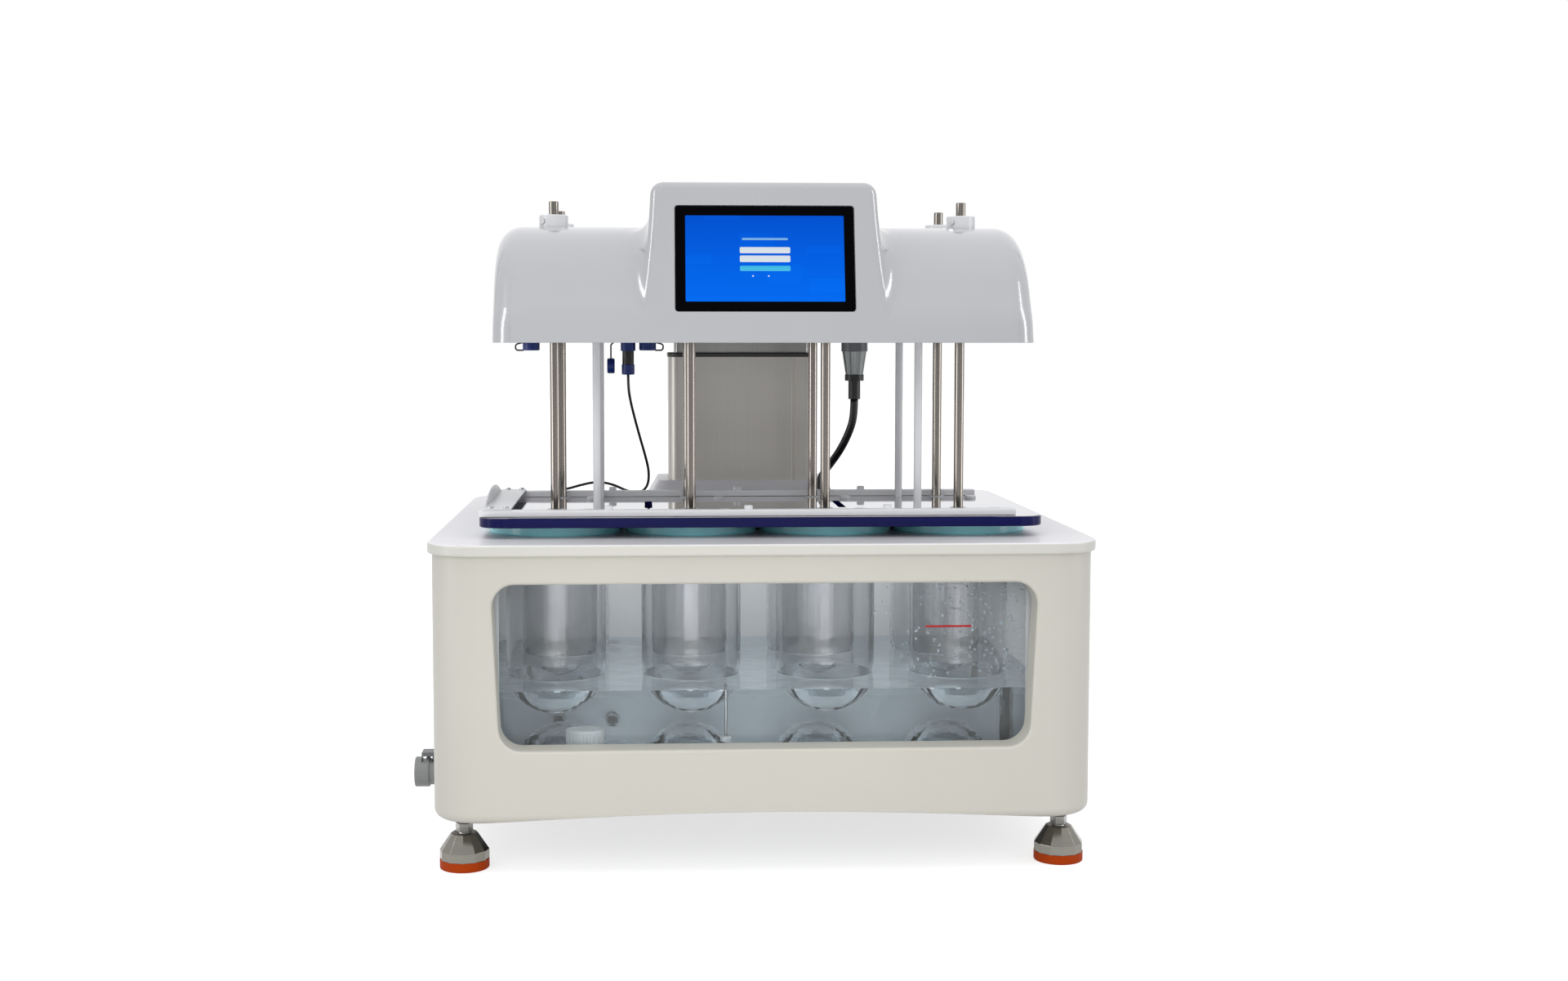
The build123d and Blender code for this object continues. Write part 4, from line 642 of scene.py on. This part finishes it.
# Strainer and level sensor: a white knurled moulding pressed over the drain in the tank's
# floor, and beside it a thin steel probe that stands in a white foot.
dress(
    moulding("fitting_white", tone(232, 234, 234), tone(220, 222, 223), 0.38), "bath_fittings"
)
sensor_steel = metal(
    "sensor_steel", (0.6, 0.6, 0.6, 1), (0.45, 0.45, 0.45, 1), 0.25, (900, 900, 60), Metallic=1.0
)
probe_x, probe_reach, probe_foot = machine_x - 0.037, 0.003, 0.1255
dress_faces(
    "bath_fittings", sensor_steel,
    lambda polygon: abs(polygon.center.x - probe_x) < probe_reach
    and polygon.center.z > probe_foot,
)

# Vessels: round-bottomed beakers of borosilicate glass, blown thin, with faint waves left by
# the flame. They hang by their flat rims in the deck's holes.
vessel_glass = clear_material(
    "vessel_glass", (0.89, 0.9, 0.915, 1.0), 0.0, 1.47, 14.0, 1.0, 0.06, 0.001, shadow=0.15
)
dress(vessel_glass, "front_vessels", "rear_vessels")

# Vessel rings: glossy cyan mouldings, pushed over the vessels' rims by hand. They centre the
# rims in the deck's holes and take the cover plate's weight.
# The rings' cyan is painted paler than the mouldings' own: painted light that lifts them out of the
# cover plate's shade.
dress(
    moulding(
        "ring_cyan", tone(168, 252, 255), tone(156, 246, 255), 0.26, 0.08, 500.0, Coat_Weight=0.3
    ),
    "vessel_rings",
)

# Cover plate: a thick sheet of deep navy acrylic, polished like a mirror on top and satin round
# its edge, with white bushes and port caps pressed into it.
dress(
    moulding(
        "plate_navy", tone(20, 20, 70), tone(16, 16, 62), 0.05, 0.02, 60.0, Coat_Weight=1.0
    ),
    "cover_plate",
)
dress_faces(
    "cover_plate",
    moulding(
        "plate_edge", tone(30, 32, 84), tone(26, 28, 76), 0.2, 0.02, 60.0,
        Specular_IOR_Level=0.1,
    ),
    lambda polygon: not upward(polygon),
)
insert_white = moulding("insert_white", tone(232, 233, 234), tone(222, 223, 226), 0.32)
dress(insert_white, "plate_inserts")

# Dosing slide: two white plastic bars on the cover plate, tied at their left ends by a folded
# and painted sheet handle that four bright screws hold.
dress(
    moulding("bar_white", tone(246, 246, 247), tone(238, 239, 240), 0.28), "dosing_bars"
)
dress(
    metal("handle_paint", tone(236, 237, 238), tone(228, 229, 231), 0.3, (700, 700, 700), 0.2),
    "slide_handle",
)
bright_steel = metal(
    "bright_steel", (0.66, 0.66, 0.66, 1), (0.5, 0.5, 0.5, 1), 0.22, (900, 900, 900), Metallic=1.0
)
dress(bright_steel, "handle_screws")

# Lifting column: two anodised aluminium extrusions, drawn lengthwise; a thin band at the top of the
# outer one, under the head, is painted dark grey as painted shade. The lead screw and the gear
# motor stand inside.
# The outer extrusion is painted far paler than its own mid-grey anodising: painted light for the
# light that the head keeps off its face.
dress(
    metal(
        "column_anodised", tone(232, 228, 219), tone(216, 212, 204), 0.36, (1400, 1400, 6), 0.15,
        Metallic=0.3,
    ),
    "column_outer",
)
# Painted shade: the top band of the outer extrusion is painted dark grey where the head overhangs
# the column's mouth.
column_top_shade = moulding("column_top_painted_shade", tone(72, 72, 70), tone(64, 64, 62), 0.4)
shade_band_height = 0.0052
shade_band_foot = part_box("column_outer")[1].z - shade_band_height
dress_faces("column_outer", column_top_shade, lambda polygon: polygon.center.z > shade_band_foot)
dress(
    metal(
        "stage_anodised", tone(168, 168, 165), tone(150, 150, 147), 0.3, (1400, 1400, 6), 0.2,
        Metallic=0.8,
    ),
    "column_inner",
)
dress(
    finish_from(
        "screw_steel", threaded,
        {"Tint": (0.6, 0.6, 0.6, 1), "Shade": (0.25, 0.25, 0.25, 1), "Softness": 0.3,
         "Relief": 0.8, "Pitch": 0.01},
        Metallic=1.0,
    ),
    "lift_screw",
)
dark_housing = moulding("motor_dark", tone(48, 49, 52), tone(38, 39, 42), 0.5, 0.4, 900.0)
dress(dark_housing, "lift_motor", "drive_motor", "circulator")

# Hood: a large glossy pale grey moulding with a raked console, lacquered, so that it mirrors
# the soft boxes along its shoulders.
dress(
    moulding(
        "hood_lacquer", tone(184, 185, 187), tone(179, 180, 182), 0.24, 0.03, 90.0,
        Coat_Weight=1.0, Coat_Roughness=0.05,
    ),
    "head_shell",
)

# Display: one sheet of black glass over a lit panel. The picture is a plain blue ground with a
# pale bar, two entry fields, a button and two small marks, and it names nothing.
dress(
    moulding(
        "display_glass", tone(8, 8, 12), tone(6, 6, 10), 0.06, 0.0, 50.0, Specular_IOR_Level=0.03
    ),
    "touch_display",
)
rake = math.radians(14.0)
console_foot = Vector((machine_x, -0.287, 0.5195))
glass_sink = 0.0008
area_low, area_high, area_half = 0.04125, 0.12775, 0.0775


def on_console(across, up, proud):
    """Point on the console's raked face, proud of the display's glass."""
    out = proud - glass_sink
    return console_foot + Vector((
        across, up * math.sin(rake) - out * math.cos(rake),
        up * math.cos(rake) + out * math.sin(rake),
    ))


def tile(name, left, right, low, high, corner, proud, finish):
    """Thin lit tile of the picture, laid on the display's glass."""
    form = bmesh.new()
    outline = round_rectangle(left, right, low, high, corner, steps=6)
    form.faces.new([form.verts.new(on_console(x, y, proud)) for x, y in outline])
    return place_piece(name, form, finish, "head")


picture, given, taken = effect(
    "Screen ground", {"Deep": "Color", "Bright": "Color"}, {"Emission Color": "Color"}
)
place = shader(picture, "TexCoord", {}).outputs["Generated"]
split = shader(picture, "SeparateXYZ", {0: place})
cells = shader(
    picture, "TexVoronoi", {"Vector": place, "Scale": 2.4, "Randomness": 0.8}, feature="F1",
    distance="CHEBYCHEV",
)
blocks = shader(
    picture, "MapRange",
    {"Value": cells.outputs["Distance"], "From Min": 0.26, "From Max": 0.27, "To Min": 0.07,
     "To Max": 0.0},
)
ramp = shader(
    picture, "MapRange", {"Value": split.outputs[2], "To Min": 0.75, "To Max": 0.2}
)
level = shader(
    picture, "Math", {0: ramp.outputs[0], 1: blocks.outputs[0]}, operation="ADD", use_clamp=True
)
blend = shader(
    picture, "Mix", {0: level.outputs[0], 6: given["Deep"], 7: given["Bright"]},
    data_type="RGBA",
)
picture.links.new(blend.outputs[2], taken["Emission Color"])


def lit(name, deep, bright, strength):
    """Lit part of the picture under gloss glass."""
    return finish_from(
        name, picture, {"Deep": deep, "Bright": bright}, Base_Color=(0.0, 0.0, 0.0, 1),
        Emission_Strength=strength, Roughness=0.08, Specular_IOR_Level=0.02,
    )


tile(
    "screen_ground", -area_half, area_half, area_low, area_high, 0.001, 0.00012,
    lit("screen_blue", tone(0, 70, 192), tone(0, 116, 255), 1.0),
)
field_white = lit("screen_white", tone(226, 236, 246), tone(240, 246, 252), 0.85)
field_cyan = lit("screen_cyan", tone(60, 190, 240), tone(90, 210, 250), 0.85)
field_pale = lit("screen_pale", tone(120, 184, 250), tone(150, 202, 252), 0.8)
field_half = 0.0246
tile("field_upper", -field_half, field_half, 0.0897, 0.0959, 0.0012, 0.0002, field_white)
tile("field_lower", -field_half, field_half, 0.0808, 0.0874, 0.0012, 0.0002, field_white)
tile("button", -field_half, field_half, 0.0718, 0.0771, 0.0012, 0.0002, field_cyan)
tile("mark_left", -0.0128, -0.0112, 0.066, 0.0676, 0.0007, 0.0002, field_white)
tile("mark_right", 0.0026, 0.0042, 0.066, 0.0676, 0.0007, 0.0002, field_white)
tile("title_bar", -0.0225, 0.0225, 0.1030, 0.1052, 0.001, 0.0002, field_pale)

# Spindles: hollow white hubs turning in flanged bearings, each clamping a polished steel
# paddle shaft with one small screw; black ribbed belts tie them to the motor below the hood.
hub_white = moulding("hub_white", tone(238, 239, 240), tone(229, 230, 232), 0.3)
hub_radius, screw_foot = 0.01485, 0.636
stations = [Vector((x, y, 0.0)) for y in row_ys for x in station_xs]
for number, axis in enumerate(stations, start=1):
    dress(hub_white, f"drive_hub_{number}")
    dress_faces(
        f"drive_hub_{number}", bright_steel,
        lambda polygon: (polygon.center - axis).xy.length > hub_radius
        and polygon.center.z > screw_foot,
    )
shaft_steel = metal(
    "shaft_steel", (0.25, 0.228, 0.206, 1), (0.225, 0.205, 0.184, 1), 0.12, (600, 600, 1), 0.0, 0.0,
    Metallic=1.0,
)
dress(shaft_steel, *(f"paddle_{n}" for n in range(1, 9)))
dress(bright_steel, "spindle_bearings", "motor_pulley")
dress(moulding("belt_rubber", tone(30, 30, 31), tone(22, 22, 23), 0.6, 0.5, 700.0), "drive_belts")

# Probe rods: smooth white plastic tubes with round tips and a temperature sensor inside. They
# are fixed in the head's base plate and reach through the cover plate's ports.
dress(
    moulding("probe_white", tone(252, 252, 253), tone(246, 247, 249), 0.22), "probe_rods"
)

# Sockets, caps and plugs: dark blue moulded caps on soft straps, a slim plug of the same blue
# and black, and a large plug of grey ring, turned metal shell and black sleeve.
blue_plastic = moulding("cap_blue", tone(22, 56, 136), tone(16, 44, 118), 0.42)
black_plastic = moulding("plug_black", tone(30, 30, 32), tone(22, 22, 24), 0.4)
dress(bright_steel, "signal_sockets")
dress(blue_plastic, "socket_caps")
fixed_caps, cap_reach = (machine_x - 0.2462, machine_x - 0.1143), 0.0098
loose_cap_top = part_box("socket_caps")[0].z + 0.0172
dress_faces(
    "socket_caps", black_plastic,
    lambda polygon: polygon.center.z >= loose_cap_top
    and all(abs(polygon.center.x - x) >= cap_reach for x in fixed_caps),
)
dress(black_plastic, "cable_plugs")
slim_top, slim_middle = 0.5095, 0.494
ring_foot, shell_foot = 0.509, 0.4825
dress_faces(
    "cable_plugs", blue_plastic,
    lambda polygon: polygon.center.x < 0
    and not slim_middle <= polygon.center.z <= slim_top,
)
dress_faces(
    "cable_plugs", moulding("ring_grey", tone(124, 127, 130), tone(114, 117, 120), 0.34),
    lambda polygon: polygon.center.x >= 0 and polygon.center.z > ring_foot,
)
dress_faces(
    "cable_plugs",
    metal(
        "shell_steel", (0.2, 0.21, 0.21, 1), (0.16, 0.17, 0.17, 1), 0.26, (80, 80, 1500),
        Metallic=1.0,
    ),
    lambda polygon: polygon.center.x >= 0 and shell_foot < polygon.center.z <= ring_foot,
)

# Drain coupling: a grey moulded quick coupling screwed through the left wall, with a darker
# thumb latch. A pale silicone hose joins it to the strainer, two pipes serve the circulator.
dress(moulding("coupling_grey", tone(150, 152, 152), tone(138, 140, 141), 0.4), "drain_coupling")
dress(moulding("latch_grey", tone(112, 114, 116), tone(102, 104, 106), 0.38), "coupling_latch")
dress(moulding("hose_silicone", tone(206, 210, 213), tone(194, 198, 202), 0.42), "water_lines")

# Mains inlet and rocker switch: black mouldings snapped into the housing's back wall, the
# rocker a little glossier from use.
dress(black_plastic, "power_inlet")
dress(
    moulding("rocker_black", tone(24, 24, 26), tone(18, 18, 20), 0.28), "power_switch"
)
